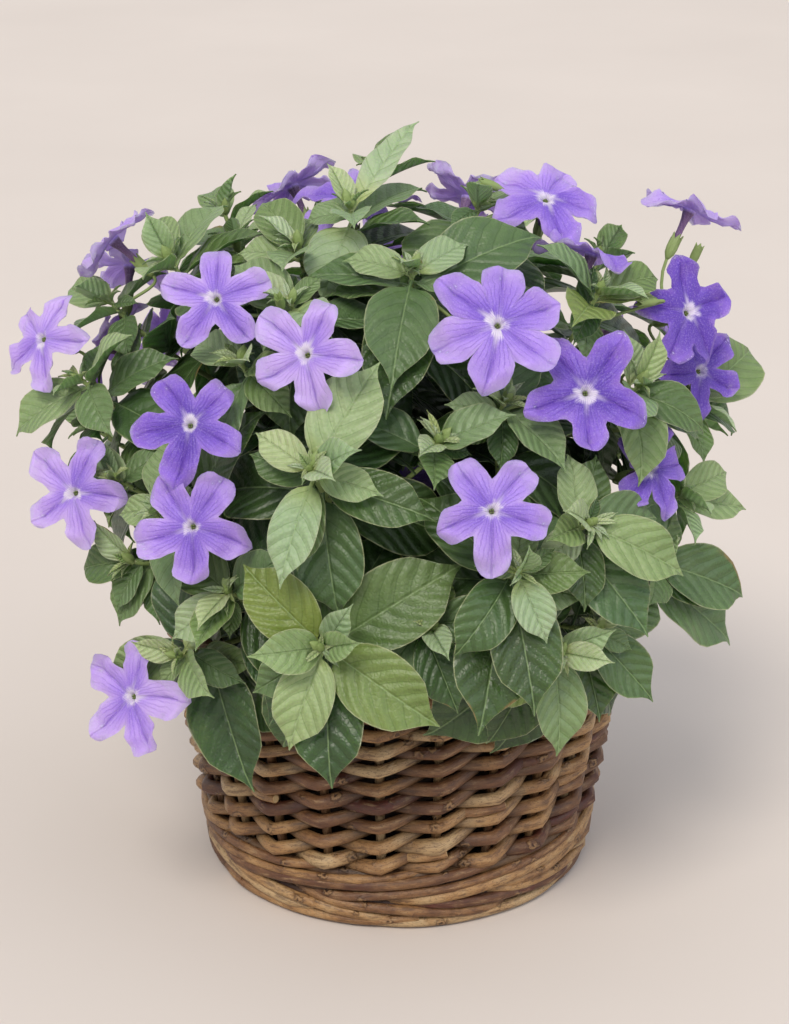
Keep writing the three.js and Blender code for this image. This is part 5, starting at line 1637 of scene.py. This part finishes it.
THROUGH_LEAF, THROUGH_PETAL = soft(0.25, (0.6, 1.0, 0.3), 3), soft(0.5, (0.8, 0.6, 1.0), 4)
LEAF = finish("living_leaf_tissue", living_leaf, (0.52, 0.34), 0.0007, IOR=1.48, **THROUGH_LEAF)
STEM = finish("green_stem_skin", green_stem, (0.45, 0.7), 0.0003, IOR=1.45)
PETAL = finish("satin_violet_petal", violet_petal, (0.42, 0.62), 0.0004, IOR=1.4, **THROUGH_PETAL)
BARK = finish("dried_willow_bark", willow_bark, (0.36, 0.6), 0.0009, IOR=1.5)
POT = finish("moulded_polypropylene", moulded_brown, (0.35, 0.6), 0.0001, IOR=1.49)
PEAT = finish("peat_compost", peat_compost, (0.85, 1.0), 0.003, IOR=1.45)
PAINT = finish("matt_pale_paint", matt_floor, (0.8, 0.9), 0.0001, IOR=1.45)

# The pieces

# More leaves than the solids hold. Those placed by their tips that found no room are tried
# again, smaller and closer to others. Then there are small ones round each shoot's tip and
# older ones further back that fill the crown. All keep out of one another and in the box.
CLOSE = 0.5
INSIDE = (BOX_LOW + 0.5, BOX_HIGH - 0.5)
CLOSE_TRIES = list(product((1, 0.9, 0.8, 0.7, 0.6), (0.8, 0.3, 1.6, 3, 0.05), (40, 15, 65, 90)))
MORE_ROWS = [
    (1, 16, 26, 10, 30), (0.5, 11, 12, 8, 34), (24, 52, 76, 40, 15), (38, 56, 82, 44, 13),
    (46, 58, 88, 46, 13), (56, 56, 92, 50, 12), (68, 54, 88, 46, 12), (80, 50, 92, 46, 12),
    (95, 48, 92, 46, 12), (110, 46, 92, 46, 12), (14, 40, 64, 30, 20), (7, 30, 48, 20, 24),
]
place_seen(Draws(21), CLOSE_TRIES, CLOSE, INSIDE)
place_spiral(Draws(77), len(LEAF_ROWS), MORE_ROWS, CLOSE, INSIDE)

# Leaves in front of a flower that shows past them, by their row in LEAF_TIPS: turn in
# degrees, share of their width, and share of their bend.
NUDGES = {0: (5, 0.6, 0.25), 31: (0, 0.8, 1), 33: (-7, 0.8, 1)}
# Leaves that wither, by row, and how yellow they are.
YELLOWING = {34: 1.0, 37: 0.4, 36: 0.6}
# How dark the leaves in front are, each with its rows. Others follow from age and place.
SHADES = {
    0.1: (0, 29, 41, 68), 0.2: (2, 3, 11, 14, 28, 30, 31, 37, 46, 59),
    0.3: (1, 8, 9, 17, 20, 24, 42, 49, 52, 58, 67, 77, 78),
    0.4: (12, 13, 15, 21, 36, 50, 72, 73, 84, 86, 91),
    0.5: (7, 16, 22, 23, 25, 27, 34, 35, 39, 43, 47, 48, 53, 56, 81),
    0.6: (6, 26, 32, 55, 57, 70, 74, 79, 83, 85, 88), 0.7: (18, 33, 62, 63, 75, 80, 87, 90, 92, 93),
    0.8: (38, 44, 45, 60, 61, 66, 69, 76),
}
TONES = {row: tone for tone, rows in SHADES.items() for row in rows}


def leaf_tone(leaf, draws):
    """0 for the palest young leaf to 1 for the darkest: by its length, how far back it
    stands, and how deep in the crown it lies."""
    if leaf.row in TONES:
        return TONES[leaf.row]
    centre = midrib(leaf, np.array([0.5]))[0][0]
    depth = 1 - np.linalg.norm((centre - CROWN_AT) / CROWN_R)
    tone = 0.06 + 0.32 * smooth((leaf.long - 14) / 46) + 0.26 * min(1, leaf.back / 20)
    return float(tone + 1.1 * max(0, depth) + 0.26 * (draws[0] - 0.5))


def nudged(leaf, turn, share, bent):
    """The leaf turned about its foot, as the viewer sees it, made narrower and, with its tip
    where it was, less bent."""
    a = leaf.droop * (1 - bent) / 2
    c, s = math.cos(math.radians(turn)), math.sin(math.radians(turn))
    ways = (turned(leaf.along, leaf.face, -a), leaf.side, turned(leaf.face, leaf.along, a))
    moved = [v * c + np.cross(VIEWER, v) * s + VIEWER * float(VIEWER @ v) * (1 - c) for v in ways]
    changes = dict(zip(("along", "side", "face"), moved))
    changes.update(wide=leaf.wide * share, droop=leaf.droop * bent)
    return SimpleNamespace(**{**vars(leaf), **changes})


draw = Draws(31)
by_node = {node: [] for node in range(len(STEMS))}
for leaf in leaves:
    number = leaf.row
    if number in NUDGES:
        leaf = nudged(leaf, *NUDGES[number])
    draws = [draw() for _ in range(5)]
    warm = YELLOWING.get(number, 0.8 if draws[4] > 0.97 else 0.4 * draws[4])
    by_node[leaf.node].append(leaf_skin(leaf, draws, leaf_tone(leaf, draws[3:]), warm))
for shoot in shoots:
    by_node[shoot.node].append(stem_skin(shoot))
for bloom in blooms:
    by_node[bloom.node] += stalk_skins(bloom)
draw = Draws(57)
for shoot in shoots:
    by_node[shoot.node] += [tip_bud(shoot, [draw() for _ in range(3)]) for _ in range(2)]
draw = Draws(83)
for shoot in shoots:
    by_node[shoot.node] += tip_bracts(shoot, draw)
for foot, looks, on in SPENT:
    by_node[shoots[on].node] += spent_skins(shoots[on], place(foot), unit(np.array(looks, float)))
for node, skins in by_node.items():
    piece(f"shoot_{node + 1:02}", skins, [LEAF, STEM], f"leafy_stem_{node + 1:02}")
for i, bloom in enumerate(blooms):
    skins = [bloom_skin(bloom, 100 + i)] + anther_skins(bloom)
    piece(f"flower_{i + 1:02}", skins, [PETAL, STEM], f"bloom_{i + 1:02}")
piece("stakes_and_base", stake_skins(), [BARK], "basket_frame")
piece("foot_rods", foot_skins(), [BARK], "basket_foot")
piece("wall_rods", weave_skins(), [BARK], "basket_weave")
piece("border_rope", rim_skins(), [BARK], "basket_rim")
piece("thin_walled_pot", [pot_skin()], [POT], "grow_pot")
piece("heaped_compost", soil_skins(), [PEAT], "compost")

# Floor, lights and camera

bpy.ops.mesh.primitive_plane_add(size=30, location=(0, 0, -0.0005))
floor = bpy.context.object
floor.name = "floor"
floor.data.materials.append(PAINT)

world = bpy.data.worlds.new("soft_daylight")
bpy.context.scene.world = world
world.use_nodes = True
daylight = world.node_tree.nodes["Background"].inputs
daylight[0].default_value = tint("#e9ecf2")
daylight[1].default_value = 0.85


def softbox(name, place, target, wide, watts, color):
    """A round lamp at a place that shines at a target."""
    lamp = bpy.data.lights.new(name, "AREA")
    lamp.shape = "DISK"
    lamp.size = wide
    lamp.energy = watts
    lamp.color = tint(color)[:3]
    x, y, z = np.array(target) - np.array(place)
    put(name, lamp, place, (math.atan2(math.hypot(x, y), -z), 0, math.atan2(y, x) - math.pi / 2))


sky = bpy.data.lights.new("high_window", "SUN")
sky.energy = 2.1
sky.angle = math.radians(24)
sky.color = tint("#fff8ee")[:3]
put("high_window", sky, turn=(math.radians(38), math.radians(-16), 0))
softbox("fill", (1.3, -0.9, 0.9), (0, 0, 0.15), 1.2, 6, "#eef3ff")

lens = bpy.data.cameras.new("camera")
lens.lens = 85
lens.sensor_width = 36
camera = put("camera", lens, (-0.00175, -1.0692, 0.5868), (math.pi / 2 - PITCH, 0, 0))
bpy.context.scene.camera = camera
bpy.context.scene.view_settings.view_transform = "Standard"
